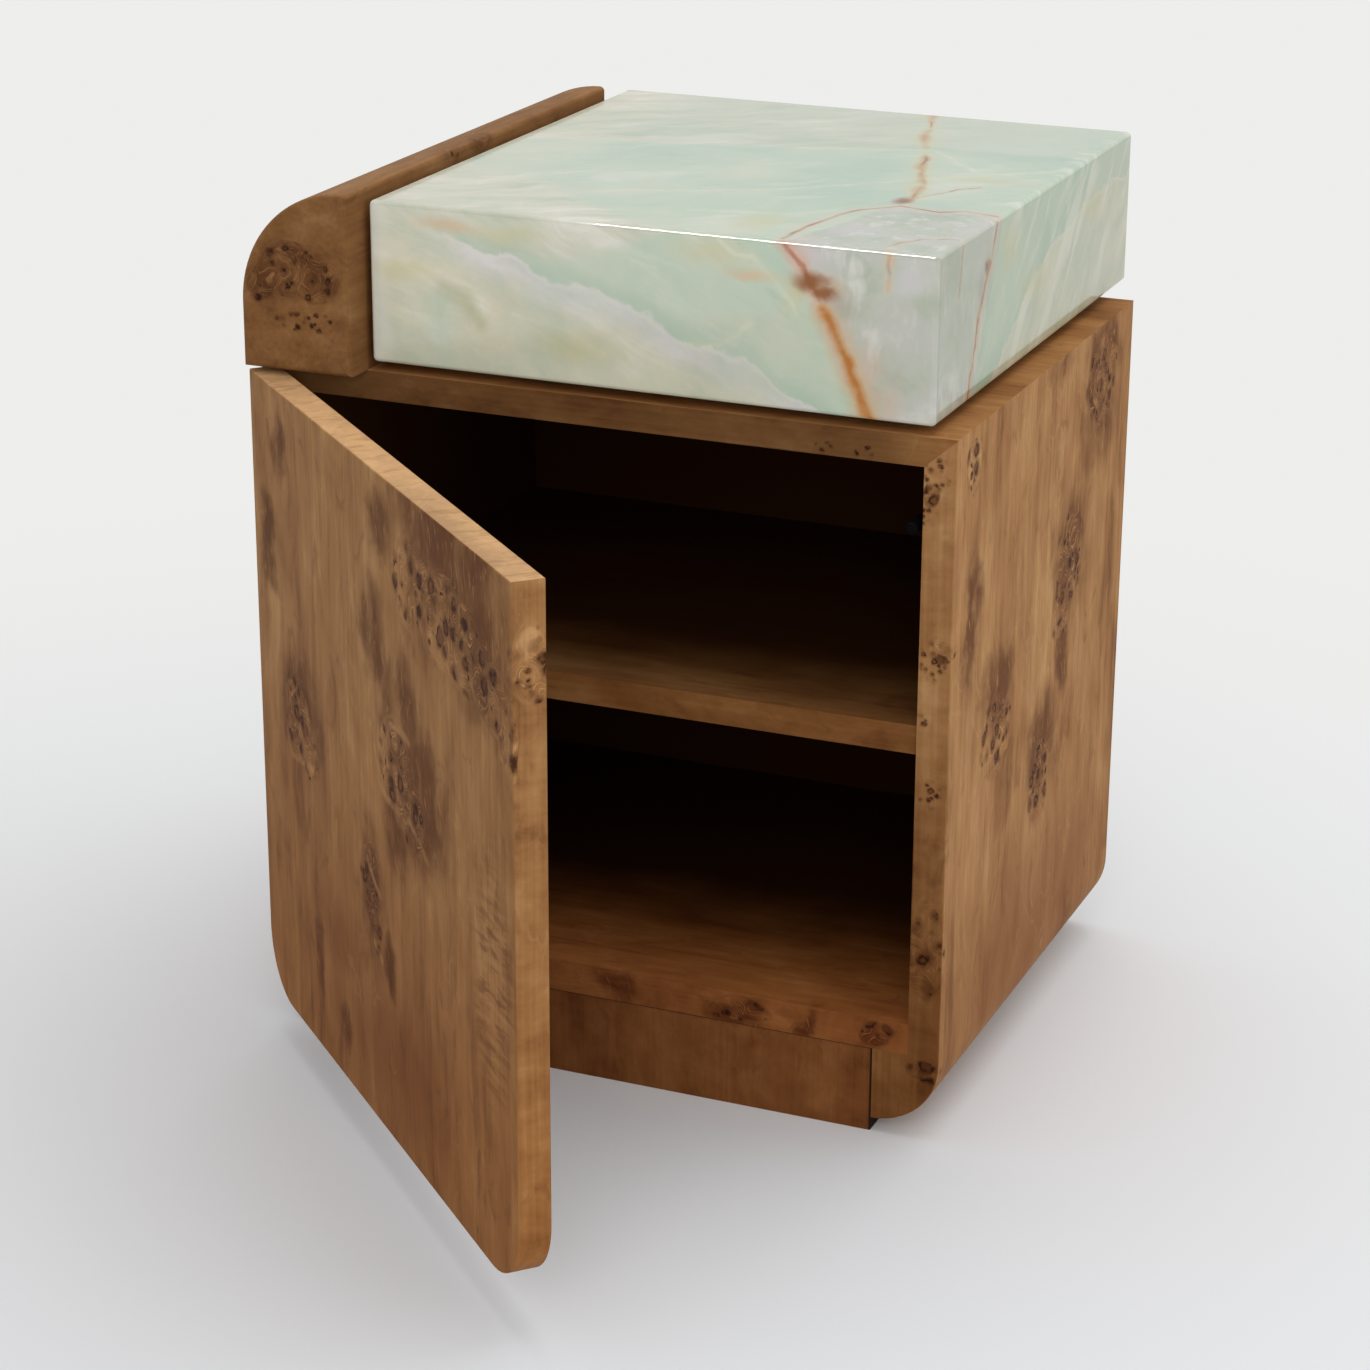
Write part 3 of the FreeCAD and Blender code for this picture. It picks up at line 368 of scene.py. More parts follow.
def burl(name, grain="z", seed=(0.0, 0.0, 0.0), clusters=(), smoke=(), red_low_shade=(), wild=0.0,
         wild_only=None, tint=(1.0, 1.0, 1.0, 1.0), turn=False, shade_inside=None, ripple=(),
         edge_figure=None, edge_axis=1, dots=(), facing_light=(0.0, 0.0, 0.0), lit_top_honey=0.0,
         low_shade_tint=None, low_front_only=True, forks=(), joint_at=None, end_lift=None, gloss=0.06):
    """Poplar burl veneer: softly figured along its grain, with dark eyes in clusters and smoky patches."""
    g = Graph(name)
    place = g.place()
    if turn:
        place = g.turned(place, PIVOT, DOOR_ANGLE)
    shifted = g.vector("ADD", place, seed)
    facing = g.facing(DOOR_ANGLE if turn else 0.0)
    x, y, z = g.parts(place)

    knots = g.ellipsoids(g.warped(place, 30.0, 0.014), clusters, 0.75, 1.1) if clusters else None
    drifting = g.warped(g.warped(place, 26.0, 0.036, 3.0), 75.0, 0.012, 2.0)
    haze = g.ellipsoids(drifting, smoke, 0.50, 1.3) if smoke else None
    if wild > 0.0:
        random_field = g.noise(shifted, 8.5, 2.0, 0.5)
        allowed = (wild,) if wild_only is None else (g.step(y, *wild_only), wild)
        loose = g.mul(g.step(random_field, 0.60, 0.66), *allowed)
        cloud = g.mul(g.step(random_field, 0.55, 0.72), *allowed)
        knots = loose if knots is None else g.most(knots, loose)
        haze = cloud if haze is None else g.most(haze, cloud)

    # The veneer's figure flows round its knots
    soft = g.warped(g.warped(shifted, 7.0, 0.024), 40.0, 0.005)
    if knots is not None:
        swirl = g.cells(g.warped(shifted, 60.0, 0.008), 62.0)
        push = g.mul(knots, swirl.outputs["Distance"], 0.020)
        soft = g.vector("ADD", soft, g.joined(push, push, push))
    squeeze, mild_squeeze = GRAIN[grain], MILD[grain]
    if edge_figure is not None:
        on_edge = g.step(g.size(facing[edge_axis]), 0.6, 0.8)
        made = g.node("Mix", data_type="VECTOR")
        g.put(made.inputs[0], on_edge)
        g.put(made.inputs[4], squeeze)
        g.put(made.inputs[5], edge_figure)
        squeeze = made.outputs[1]
    along = g.vector("MULTIPLY", soft, squeeze)
    mild = g.vector("MULTIPLY", soft, mild_squeeze)
    straight = g.vector("MULTIPLY", g.warped(shifted, 4.0, 0.010), FINE_GRAIN[grain])

    bands = g.noise(along, 75.0, 5.0, 0.62)
    lines = g.noise(straight, 380.0, 2.0, 0.6)
    mottle = g.noise(mild, 32.0, 5.0, 0.60, 0.6)
    patches = g.noise(g.warped(mild, 20.0, 0.03), 13.0, 3.0, 0.55)
    tone = g.add(g.mul(bands, 0.30), g.mul(lines, 0.14), g.mul(mottle, 0.34), g.mul(patches, 0.22))
    colour = g.ramp(tone, [(0.385, WOOD_DARK), (0.46, WOOD_LOW), (0.535, WOOD_MID), (0.625, WOOD_HIGH)])

    # Reddish-brown wood low on the panels, darker too: partly reddish figure, partly painted shade near the
    # floor
    if red_low_shade:
        reddened_shaded = g.mul(g.ellipsoids(place, red_low_shade, 0.1, 1.3), g.add(0.25, g.mul(bands, 0.7)))
        colour = g.mix(reddened_shaded, colour, RED_WOOD_SHADE)

    # Curly figure: soft brown blotches and thin pale arcs
    flame = g.noise(mild, 60.0, 4.0, 0.62, 0.9)
    colour = g.over(colour, g.step(flame, 0.56, 0.72), 0.42, BLOTCH)
    contour = g.size(g.sub(g.noise(mild, 28.0, 3.0, 0.55, 0.5), 0.5))
    where = g.step(patches, 0.46, 0.60)
    colour = g.over(colour, g.mul(g.step(contour, 0.016, 0.0), where), 0.30, WOOD_HIGH)

    if haze is not None:
        patchy = g.mul(haze, g.add(0.25, g.mul(g.step(g.noise(mild, 40.0, 4.0, 0.6), 0.32, 0.58), 0.75)))
        colour = g.over(colour, patchy, 0.86, SMOKE)
        colour = g.over(colour, g.mul(slashes(g, soft, 0.28, 60.0, 0.58, 0.68), haze), 0.45, WOOD_HIGH)
    relief = g.mul(bands, 0.2)
    if knots is not None:
        colour = g.over(colour, g.mul(slashes(g, soft, 0.12, 90.0, 0.52, 0.64), knots), 0.60, EYE_PALE)
        colour, rim = eyes(g, colour, shifted, knots, 0.0122, 0.17, 0.24, 0.92)
        relief = g.sub(relief, g.mul(rim, 0.8))
        fringe = g.step(knots, 0.15, 0.6)
        elsewhere = g.vector("ADD", shifted, (0.4, 0.7, 0.2))
        colour, rim = eyes(g, colour, elsewhere, fringe, 0.0060, 0.13, 0.22, 0.45)
        relief = g.sub(relief, g.mul(rim, 0.5))
    if dots:
        speckled = g.ellipsoids(g.warped(place, 60.0, 0.004), dots)
        elsewhere = g.vector("ADD", shifted, (0.9, 0.3, 0.6))
        colour, rim = eyes(g, colour, elsewhere, speckled, 0.0042, 0.20, 0.20, 0.8)
        relief = g.sub(relief, g.mul(rim, 0.5))
    if ripple:
        area = g.ellipsoids(g.warped(place, 30.0, 0.02), ripple, 0.3, 1.1)
        stretched = g.vector("MULTIPLY", g.warped(place, 40.0, 0.006), (60.0, 60.0, 260.0))
        curl = g.noise(stretched, 1.0, 2.0, 0.5)
        colour = g.over(colour, g.mul(g.step(curl, 0.50, 0.64), area), 0.55, BLOTCH)
        colour = g.over(colour, g.mul(g.step(curl, 0.44, 0.34), area), 0.40, WOOD_HIGH)
    if forks:
        reach = g.strands(g.warped(place, 60.0, 0.006), forks, 0.0022)
        faded = g.add(0.10, g.mul(g.step(g.noise(place, 55.0, 2.0), 0.35, 0.60), 0.34))
        colour = g.over(colour, g.step(reach, 1.6, 0.2), faded, EYE_PALE)

    colour = g.mix(1.0, colour, tint, "MULTIPLY")
    upward = g.most(facing[2], 0.0)
    # Painted light: faces are made lighter or darker by which way they face, sideways, forwards or upwards
    if any(facing_light):
        sideways = g.mul(g.size(facing[0]), facing_light[0])
        forwards = g.mul(g.size(facing[1]), facing_light[1])
        amount = g.add(1.0, sideways, forwards, g.mul(upward, facing_light[2]))
        colour = g.vector("SCALE", colour, scale=amount)
    # Painted light from above: upward faces turn a paler honey, with streaks of the edge's cross grain
    if lit_top_honey:
        level = g.step(upward, 0.7, 0.95)
        colour = g.over(colour, level, lit_top_honey, LIT_TOP_HONEY)
        stretched = g.vector("MULTIPLY", g.warped(shifted, 20.0, 0.02), (150.0, 40.0, 1.0))
        cross = g.noise(stretched, 1.0, 3.0, 0.6, 0.5)
        colour = g.over(colour, g.mul(level, g.step(cross, 0.50, 0.66)), 0.45, WOOD_MID)
    # Painted shade: the fronts grow darker and warmer towards the floor
    if low_shade_tint is not None:
        low = g.step(z, 0.32, 0.04)
        if low_front_only:
            low = g.mul(low, g.step(g.size(facing[1]), 0.4, 0.8))
        colour = g.mix(low, colour, g.mix(1.0, colour, (*low_shade_tint, 1.0), "MULTIPLY"))
    if end_lift is not None:
        nearer = g.mul(g.step(x, end_lift[0], end_lift[1]), g.step(facing[1], -0.4, -0.8))
        colour = g.vector("SCALE", colour, scale=g.add(1.0, g.mul(nearer, end_lift[2])))
    if joint_at is not None:
        end_x, top_z = joint_at
        near = g.least(g.sub(end_x, g.size(x)), g.sub(top_z, z))
        colour = g.mix(g.step(near, 0.0013, 0.0004), colour, JOINT_LINE)
    # Painted shade: the boards darken to near black deep inside the cabinet
    if shade_inside is not None:
        colour = g.mix(inside_shade(g, place, shade_inside), colour, INSIDE_SHADE_COLOUR)
    roughness = g.add(0.46, g.mul(bands, 0.2))
    return g.finish(colour, roughness, g.bump(relief, 0.0004), Specular_IOR_Level=gloss)


def spots(axis, level, depth, *rows):
    """Ellipsoids on a face across the axis. A row holds two places and two radii on the face."""
    made = []
    for one, other, one_radius, other_radius in rows:
        centre = [one, other]
        radii = [one_radius, other_radius]
        centre.insert(axis, level)
        radii.insert(axis, depth)
        made.append((tuple(centre), tuple(radii)))
    return made


def on_door_face(*points):
    return [(x, DOOR_FACE, z) for x, z in points]


def on_top(*points):
    return [(x, y, STONE_TOP) for x, y in points]


def on_front(*points):
    return [(x, STONE_FRONT, z) for x, z in points]


def on_right(*points):
    return [(STONE_RIGHT, y, z) for y, z in points]


# Lines and blots on the stone's faces
PALE_LINES = (
    on_top((-0.034, -0.088), (0.050, -0.051), (0.129, 0.018), (0.186, 0.064)),
    on_top((0.035, -0.108), (0.085, -0.098), (0.104, -0.080)),
    on_top((0.028, 0.063), (0.100, 0.085), (0.142, 0.037), (0.161, 0.039)),
    on_front((-0.049, 0.437), (-0.021, 0.431), (0.005, 0.420)),
    on_front((0.054, 0.431), (0.068, 0.431), (0.085, 0.444)),
    on_front((0.087, 0.478), (0.101, 0.467), (0.112, 0.452)),
    on_front((0.066, 0.489), (0.078, 0.478), (0.087, 0.478)),
)
FINE_VEINS = (
    on_top((0.100, -0.152), (0.104, -0.114), (0.107, -0.090), (0.114, -0.074), (0.130, -0.057)),
    on_top((0.130, -0.057), (0.154, -0.063), (0.165, -0.055), (0.184, -0.060)),
    on_right((-0.066, 0.487), (-0.075, 0.468)),
)
FAINT_VEINS = (
    on_front((0.160, 0.488), (0.160, 0.470)),
    on_top((0.156, -0.150), (0.157, -0.139), (0.167, -0.124), (0.184, -0.117)),
    on_right((-0.120, 0.486), (-0.127, 0.462)),
    on_top((0.130, -0.035), (0.145, -0.007), (0.154, 0.003)),
)
BACK_VEIN = (
    [(0.055, STONE_BACK, 0.402), (0.066, STONE_BACK, 0.450), (0.068, STONE_BACK, 0.487)],
    on_top(
        (0.068, 0.183), (0.078, 0.130), (0.093, 0.093), (0.107, 0.042), (0.124, -0.004), (0.130, -0.047),
    ),
)
OLIVE_VEIN = (on_front((-0.090, 0.447), (-0.078, 0.441), (-0.067, 0.428)),)
FRONT_VEIN = (on_front((0.102, 0.489), (0.109, 0.483), (0.118, 0.471), (0.127, 0.455)),)
AMBER_VEINS = (
    on_front((0.127, 0.455), (0.135, 0.440), (0.139, 0.428), (0.145, 0.414), (0.151, 0.400)),
)
RIGHT_VEIN = (
    on_right((-0.075, 0.468), (-0.084, 0.456), (-0.092, 0.442), (-0.103, 0.413), (-0.107, 0.401)),
)

ORANGE_BLOTS = spots(1, STONE_FRONT, 0.02,
    (-0.086, 0.480, 0.024, 0.005), (0.088, 0.471, 0.020, 0.005), (0.121, 0.468, 0.018, 0.009),
    (0.160, 0.484, 0.003, 0.006), (0.160, 0.470, 0.002, 0.004),
)
YELLOW_BLOTS = [
    *spots(1, STONE_FRONT, 0.02,
        (-0.047, 0.478, 0.024, 0.006), (-0.115, 0.455, 0.040, 0.007), (-0.011, 0.421, 0.026, 0.010),
        (0.066, 0.480, 0.026, 0.008), (0.110, 0.462, 0.008, 0.012),
    ),
    *spots(0, STONE_RIGHT, 0.01,
        (-0.044, 0.470, 0.022, 0.016), (0.000, 0.440, 0.030, 0.010), (0.110, 0.462, 0.030, 0.010),
    ),
    *spots(2, STONE_TOP, 0.01, (0.150, 0.020, 0.030, 0.010), (0.076, -0.120, 0.016, 0.030)),
]
RUST_BLOTS = [
    *spots(1, STONE_FRONT, 0.02, (0.119, 0.470, 0.012, 0.006), (0.126, 0.465, 0.007, 0.005)),
    *spots(0, STONE_RIGHT, 0.01, (-0.081, 0.466, 0.006, 0.005)),
    *spots(2, STONE_TOP, 0.01, (0.128, -0.044, 0.006, 0.010)),
]
PLUM_BLOTS = [
    *spots(1, STONE_FRONT, 0.02, (0.135, 0.461, 0.012, 0.009)),
    *spots(0, STONE_RIGHT, 0.01, (-0.090, 0.458, 0.006, 0.011)),
]
PINK_BLOTS = spots(1, STONE_FRONT, 0.02,
    (0.112, 0.484, 0.010, 0.010), (0.150, 0.430, 0.010, 0.016), (0.162, 0.412, 0.010, 0.014),
)
LILAC_BLOTS = [
    *spots(1, STONE_FRONT, 0.02, (0.122, 0.484, 0.014, 0.006), (0.172, 0.474, 0.010, 0.010)),
    *spots(2, STONE_TOP, 0.01, (0.126, -0.120, 0.020, 0.020)),
]
RING_PLACE = (0.143, STONE_FRONT, 0.479)
RING_RADII = (0.007, 0.02, 0.006)

# Painted shade: what the stone's right face keeps of its colours, darker and yellower than the front
RIGHT_FACE_SHADE = (0.75, 0.76, 0.69, 1.0)

# The direction across the stone's layers, read off its front, side and top
LAYER_NORMAL = (0.34, -0.46, 0.82)


def onyx():
    """Polished green onyx: cloudy layers, cream banks and rust-red veins round a whitish corner."""
    g = Graph("onyx_stone")
    place = g.place()
    broad = g.warped(place, 6.0, 0.050, 3.0)
    drifted = g.warped(g.warped(place, 12.0, 0.020, 3.0), 60.0, 0.005, 2.0)
    x, y, z = g.parts(drifted)

    # Clear green ground with slow changes
    ground = g.noise(broad, 9.0, 4.0, 0.55)
    colour = g.ramp(ground, [
        (0.34, linear(184, 206, 187)),
        (0.46, linear(194, 211, 191)),
        (0.56, linear(205, 215, 195)),
        (0.68, linear(216, 220, 201)),
    ])

    # Layers lie along one slope: wisps are stretched along it
    level = g.vector("DOT_PRODUCT", drifted, LAYER_NORMAL)
    across = g.vector("SCALE", LAYER_NORMAL, scale=g.mul(level, 62.0))
    layered = g.vector("ADD", g.vector("SCALE", drifted, scale=14.0), across)
    wisps = g.noise(layered, 1.0, 5.0, 0.6, 0.3)
    streaky = g.step(g.noise(place, 11.0, 2.0), 0.38, 0.60)

    # Cream clouds: the top's left and back, the banks low on the front and the right side
    near_left = g.add(g.mul(x, 0.575), g.add(g.mul(y, 0.818), 0.105), g.mul(g.sub(z, STONE_TOP), -1.6))
    far = g.sub(g.add(g.mul(x, -0.277), g.mul(y, 0.961)), 0.053)
    behind = g.mul(g.step(far, -0.006, 0.012), g.step(x, 0.13, 0.06))
    clouds = g.mul(g.most(g.step(near_left, 0.006, -0.010), behind), g.add(0.60, g.mul(wisps, 0.7)))
    milk = g.ramp(wisps, [
        (0.34, linear(200, 206, 184)),
        (0.48, linear(213, 214, 194)),
        (0.60, linear(224, 223, 208)),
        (0.72, linear(238, 236, 226)),
    ])
    colour = g.mix(clouds, colour, milk)
    colour = g.over(colour, g.mul(g.step(wisps, 0.53, 0.68), streaky), 0.42, linear(226, 229, 215))
    colour = g.over(colour, g.mul(g.step(wisps, 0.45, 0.32), streaky), 0.30, linear(168, 190, 168))

    front_rim = g.profile(x, [
        (-0.135, 0.474), (-0.087, 0.473), (-0.053, 0.468), (-0.033, 0.459), (0.011, 0.448),
        (0.034, 0.440), (0.054, 0.430), (0.081, 0.427), (0.101, 0.417), (0.150, 0.385),
    ])
    side_rim = g.profile(y, [
        (-0.110, 0.385), (-0.056, 0.412), (-0.011, 0.435), (0.027, 0.450), (0.184, 0.470),
    ])
    ragged = g.mul(g.sub(g.noise(g.warped(place, 30.0, 0.012, 3.0), 46.0, 4.0, 0.6), 0.5), 0.018)
    front_depth = g.mul(g.add(g.sub(front_rim, z), ragged), g.step(y, 0.10, 0.0))
    side_depth = g.add(g.sub(side_rim, z), g.mul(ragged, 1.4))
    depth = g.most(front_depth, side_depth)
    from_left = g.step(x, -0.112, -0.066)
    crisp = g.mul(g.step(depth, -0.0012, 0.0016), from_left)
    bank = g.most(crisp, g.mul(g.step(depth, -0.028, 0.014), g.sub(1.0, from_left), 0.90))
    shadow = g.mul(g.step(depth, -0.016, -0.001), g.step(depth, 0.0008, 0.0))
    colour = g.over(colour, g.mul(shadow, from_left), 0.35, linear(172, 196, 178))
    curd = g.add(g.mul(g.noise(drifted, 30.0, 5.0, 0.6), 0.55), g.mul(wisps, 0.45))
    cream = g.ramp(curd, [
        (0.36, linear(196, 202, 180)),
        (0.46, linear(211, 211, 188)),
        (0.55, linear(221, 217, 192)),
        (0.66, linear(236, 232, 214)),
    ])
    rind = g.ramp(curd, [
        (0.38, linear(200, 205, 192)),
        (0.50, linear(212, 212, 206)),
        (0.62, linear(224, 222, 219)),
    ])
    rind_share = g.mul(g.step(depth, 0.026, 0.004), g.step(y, -0.08, -0.14), from_left)
    cream = g.mix(rind_share, cream, rind)
    cream = g.over(cream, g.mul(g.step(depth, 0.0045, 0.0015), from_left), 0.4, linear(232, 232, 224))
    clear = g.add(0.55, g.mul(g.step(ground, 0.62, 0.42), 0.38))
    colour = g.over(colour, bank, clear, cream)

    # White streaks lie along the slope of the right face
    on_side = g.step(x, 0.176, 0.184)
    slant = g.add(g.mul(y, -0.74), g.mul(z, 0.67))
    climb = g.add(g.mul(y, 0.67), g.mul(z, 0.74))
    drawn = g.noise(g.joined(g.mul(slant, 60.0), g.mul(climb, 11.0)), 1.0, 4.0, 0.6, 0.4)
    side_streaks = g.mul(g.step(drawn, 0.52, 0.66), g.step(y, -0.09, -0.02))
    colour = g.over(colour, g.mul(side_streaks, on_side), 0.62, linear(236, 236, 222))
    colour = g.over(colour, g.mul(g.step(drawn, 0.44, 0.34), on_side), 0.40, linear(186, 196, 164))

    # The chalky corner between the two forked veins
    tx, ty, tz = g.parts(g.warped(g.warped(place, 16.0, 0.008, 3.0), 90.0, 0.003, 3.0))
    drop = g.sub(STONE_TOP, tz)
    left = g.sub(tx, g.add(0.103, g.add(g.mul(drop, 0.53), g.mul(g.add(ty, 0.155), 0.24))))
    right = g.sub(ty, g.sub(-0.057, g.mul(drop, 0.50)))
    corner = g.mul(g.step(left, -0.002, 0.003), g.step(right, 0.003, -0.003))
    chalk = g.ramp(g.noise(g.warped(place, 20.0, 0.03, 4.0), 24.0, 5.0, 0.62), [
        (0.34, linear(178, 186, 168)),
        (0.46, linear(193, 197, 183)),
        (0.56, linear(202, 201, 194)),
        (0.68, linear(224, 222, 212)),
    ])
    stretched = g.vector("MULTIPLY", g.warped(place, 22.0, 0.016, 3.0), (90.0, 90.0, 22.0))
    smear = g.noise(stretched, 1.0, 3.0, 0.55)
    chalk = g.over(chalk, g.step(smear, 0.54, 0.70), 0.55, linear(232, 230, 222))
    from_ring = g.vector("SUBTRACT", g.warped(place, 70.0, 0.010), RING_PLACE)
    ringed = g.vector("LENGTH", g.vector("DIVIDE", from_ring, RING_RADII))
    hollow = g.mul(g.step(ringed, 1.25, 0.95), g.step(ringed, 0.35, 0.85))
    chalk = g.over(chalk, hollow, 0.26, linear(158, 170, 150))
    lilac = g.ellipsoids(g.warped(place, 40.0, 0.010), LILAC_BLOTS, 0.1, 1.3)
    chalk = g.over(chalk, lilac, 0.60, linear(214, 206, 212))
    colour = g.over(colour, corner, 0.88, chalk)

    # Stains beside the veins
    stained = g.warped(g.warped(place, 26.0, 0.014, 3.0), 90.0, 0.005)
    for blots, strength, shade in (
        (YELLOW_BLOTS, 0.50, linear(206, 201, 150)),
        (ORANGE_BLOTS, 0.62, linear(222, 184, 140)),
        (PINK_BLOTS, 0.50, linear(220, 188, 170)),
    ):
        colour = g.over(colour, g.ellipsoids(stained, blots, 0.0, 1.3), strength, shade)
    reach = g.strands(stained, OLIVE_VEIN, 0.006)
    colour = g.coats(colour, reach, (1.5, 0.0, 0.50, (176, 176, 132)))

    # Veins: pale lines first, then thin rust lines, then the strong veins over them
    smooth = g.warped(place, 30.0, 0.005, 2.0)
    shaken = g.warped(g.warped(place, 24.0, 0.007, 2.0), 110.0, 0.005, 3.0)
    fade = g.step(g.noise(place, 30.0, 3.0, 0.6), 0.38, 0.58)
    swell = g.most(g.sub(g.mul(g.noise(place, 32.0, 2.0, 0.5), 4.0), 1.1), 0.45)
    wavy = g.warped(g.warped(place, 16.0, 0.012, 1.0), 50.0, 0.003, 1.0)
    amber_width = g.add(0.7, g.mul(g.noise(place, 60.0, 2.0), 0.6))
    colour = g.coats(
        colour, g.strands(shaken, PALE_LINES, 0.0014),
        (5.0, 0.6, 0.22, (220, 222, 196)),
        (1.6, 0.0, g.add(0.10, g.mul(fade, 0.4)), (230, 230, 210)))
    colour = g.coats(
        colour, g.strands(smooth, FINE_VEINS, 0.0013),
        (6.0, 0.5, 0.45, (224, 200, 176)),
        (1.7, 0.2, g.add(0.42, g.mul(fade, 0.45)), (158, 92, 62)))
    colour = g.coats(
        colour, g.strands(shaken, FAINT_VEINS, 0.0014),
        (4.0, 0.4, 0.30, (222, 196, 168)),
        (1.5, 0.2, g.add(0.12, g.mul(fade, 0.40)), (168, 116, 88)))
    colour = g.coats(
        colour, g.math("DIVIDE", g.strands(wavy, BACK_VEIN, 0.0026), swell),
        (4.0, 0.5, 0.50, (214, 206, 162)),
        (1.7, 0.2, 0.70, (200, 156, 104)),
        (0.60, 0.1, g.add(0.10, g.mul(fade, 0.62)), (144, 84, 44)))
    colour = g.coats(
        colour, g.strands(shaken, FRONT_VEIN, 0.0026),
        (2.6, 0.4, 0.60, (216, 172, 146)),
        (0.9, 0.1, 0.75, (178, 104, 66)))
    colour = g.coats(
        colour, g.math("DIVIDE", g.strands(shaken, AMBER_VEINS, 0.0044), amber_width),
        (2.6, 0.5, 0.66, (216, 184, 142)),
        (1.2, 0.2, 0.75, (200, 134, 64)),
        (0.6, 0.1, g.add(0.15, g.mul(fade, 0.5)), (182, 106, 38)))
    colour = g.coats(
        colour, g.strands(shaken, RIGHT_VEIN, 0.0023),
        (3.4, 0.4, 0.66, (214, 186, 154)),
        (1.0, 0.2, 0.85, (180, 110, 60)))

    plum = g.ellipsoids(stained, PLUM_BLOTS, 0.1, 1.3)
    colour = g.over(colour, plum, 0.40, linear(164, 150, 142))
    rust = g.ellipsoids(g.warped(place, 60.0, 0.012, 3.0), RUST_BLOTS, 0.2, 1.30)
    colour = g.over(colour, rust, 0.92, linear(142, 80, 12))

    # Painted highlight: the front's left end pales towards its edge
    facing = g.facing()
    left_end_highlight = g.mul(g.step(x, -0.114, -0.132), g.step(facing[1], -0.2, -0.8))
    colour = g.over(colour, left_end_highlight, 0.60, linear(238, 241, 232))

    # Painted light by facing: a painted highlight on the rounded left upright edge, painted shade on the
    # right upright edge and the front-top edge, the front face a little lighter and the right face darker
    edge = g.step(g.least(g.size(facing[0]), g.size(facing[1])), 0.01, 0.22)
    colour = g.over(colour, g.mul(edge, g.step(facing[0], -0.05, -0.2)), 0.75, linear(242, 244, 234))
    top_edge = g.step(g.least(facing[2], g.size(facing[1])), 0.06, 0.4)
    edge_shade = g.add(g.mul(edge, g.step(facing[0], 0.01, 0.05), 0.06), g.mul(top_edge, 0.12))
    edge_shade = g.sub(edge_shade, g.mul(g.step(facing[1], -0.9, -0.98), 0.05))
    colour = g.vector("SCALE", colour, scale=g.sub(1.0, edge_shade))
    colour = g.mix(g.step(facing[0], 0.9, 0.98), colour, g.mix(1.0, colour, RIGHT_FACE_SHADE, "MULTIPLY"))

    return g.finish(colour, 0.07, None, Subsurface_Weight=0.10, Subsurface_Scale=0.008)


def plain_wood(name, low, high, grain):
    g = Graph(name)
    place = g.place()
    soft = g.warped(place, 9.0, 0.012)
    along = g.vector("MULTIPLY", soft, GRAIN[grain])
    streaks = g.noise(along, 90.0, 4.0, 0.6)
    fibres = g.noise(along, 420.0, 3.0, 0.6)
    tone = g.add(g.mul(streaks, 0.7), g.mul(fibres, 0.3))
    colour = g.ramp(tone, [(0.36, low), (0.62, high)])
    return g.finish(colour, g.add(0.45, g.mul(fibres, 0.25)), g.bump(fibres, 0.0003))


def grained(name, low, high, scale, detail, noisiness, roughness, relief, **constants):
    """A dull material with a fine grain: black board, plastic and rubber."""
    g = Graph(name)
    grain = g.noise(g.place(), scale, detail, noisiness)
    colour = g.ramp(grain, [(0.3, linear(*low)), (0.7, linear(*high))])
    return g.finish(colour, g.add(roughness, g.mul(grain, 0.2)), g.bump(grain, relief), **constants)


def steel():
    g = Graph("steel_satin")
    place = g.place()
    brushed = g.noise(g.vector("MULTIPLY", place, (1.0, 1.0, 0.05)), 1800.0, 3.0, 0.6)
    colour = g.ramp(brushed, [(0.3, linear(168, 168, 170)), (0.7, linear(206, 206, 208))])
    return g.finish(colour, g.add(0.24, g.mul(brushed, 0.2)), g.bump(brushed, 0.00005), Metallic=1.0)


def dress(names, material):
    for name in names:
        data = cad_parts[name].data
        data.materials.clear()
        data.materials.append(material)


DOOR_EYES = [
    *spots(1, DOOR_FACE, 0.016,
        (0.056, 0.348, 0.026, 0.022), (0.098, 0.346, 0.036, 0.026), (0.136, 0.338, 0.034, 0.022),
        (-0.132, 0.214, 0.024, 0.024), (-0.112, 0.198, 0.018, 0.014), (0.028, 0.246, 0.026, 0.026),
        (0.052, 0.226, 0.024, 0.020), (-0.014, 0.164, 0.016, 0.022), (-0.006, 0.140, 0.010, 0.018),
    ),
    *spots(1, DOOR_FACE, 0.006, (0.172, 0.328, 0.026, 0.020)),
    *spots(1, DOOR_FACE, 0.003, (0.192, 0.310, 0.014, 0.018)),
    *spots(1, DOOR_MIDDLE, 0.012, (0.203, 0.352, 0.016, 0.022)),
]
DOOR_SMOKE = spots(1, DOOR_FACE, 0.014,
    (0.084, 0.388, 0.056, 0.026), (0.134, 0.378, 0.070, 0.040), (0.156, 0.346, 0.048, 0.036),
    (0.014, 0.366, 0.022, 0.022), (0.000, 0.304, 0.020, 0.028), (0.034, 0.280, 0.040, 0.036),
    (0.064, 0.240, 0.048, 0.044), (0.030, 0.206, 0.018, 0.024), (-0.124, 0.226, 0.034, 0.034),
    (-0.012, 0.158, 0.018, 0.044), (0.014, 0.130, 0.012, 0.016), (-0.172, 0.302, 0.016, 0.026),
    (-0.146, 0.364, 0.012, 0.018), (-0.104, 0.080, 0.009, 0.032), (-0.060, 0.060, 0.010, 0.014),
)
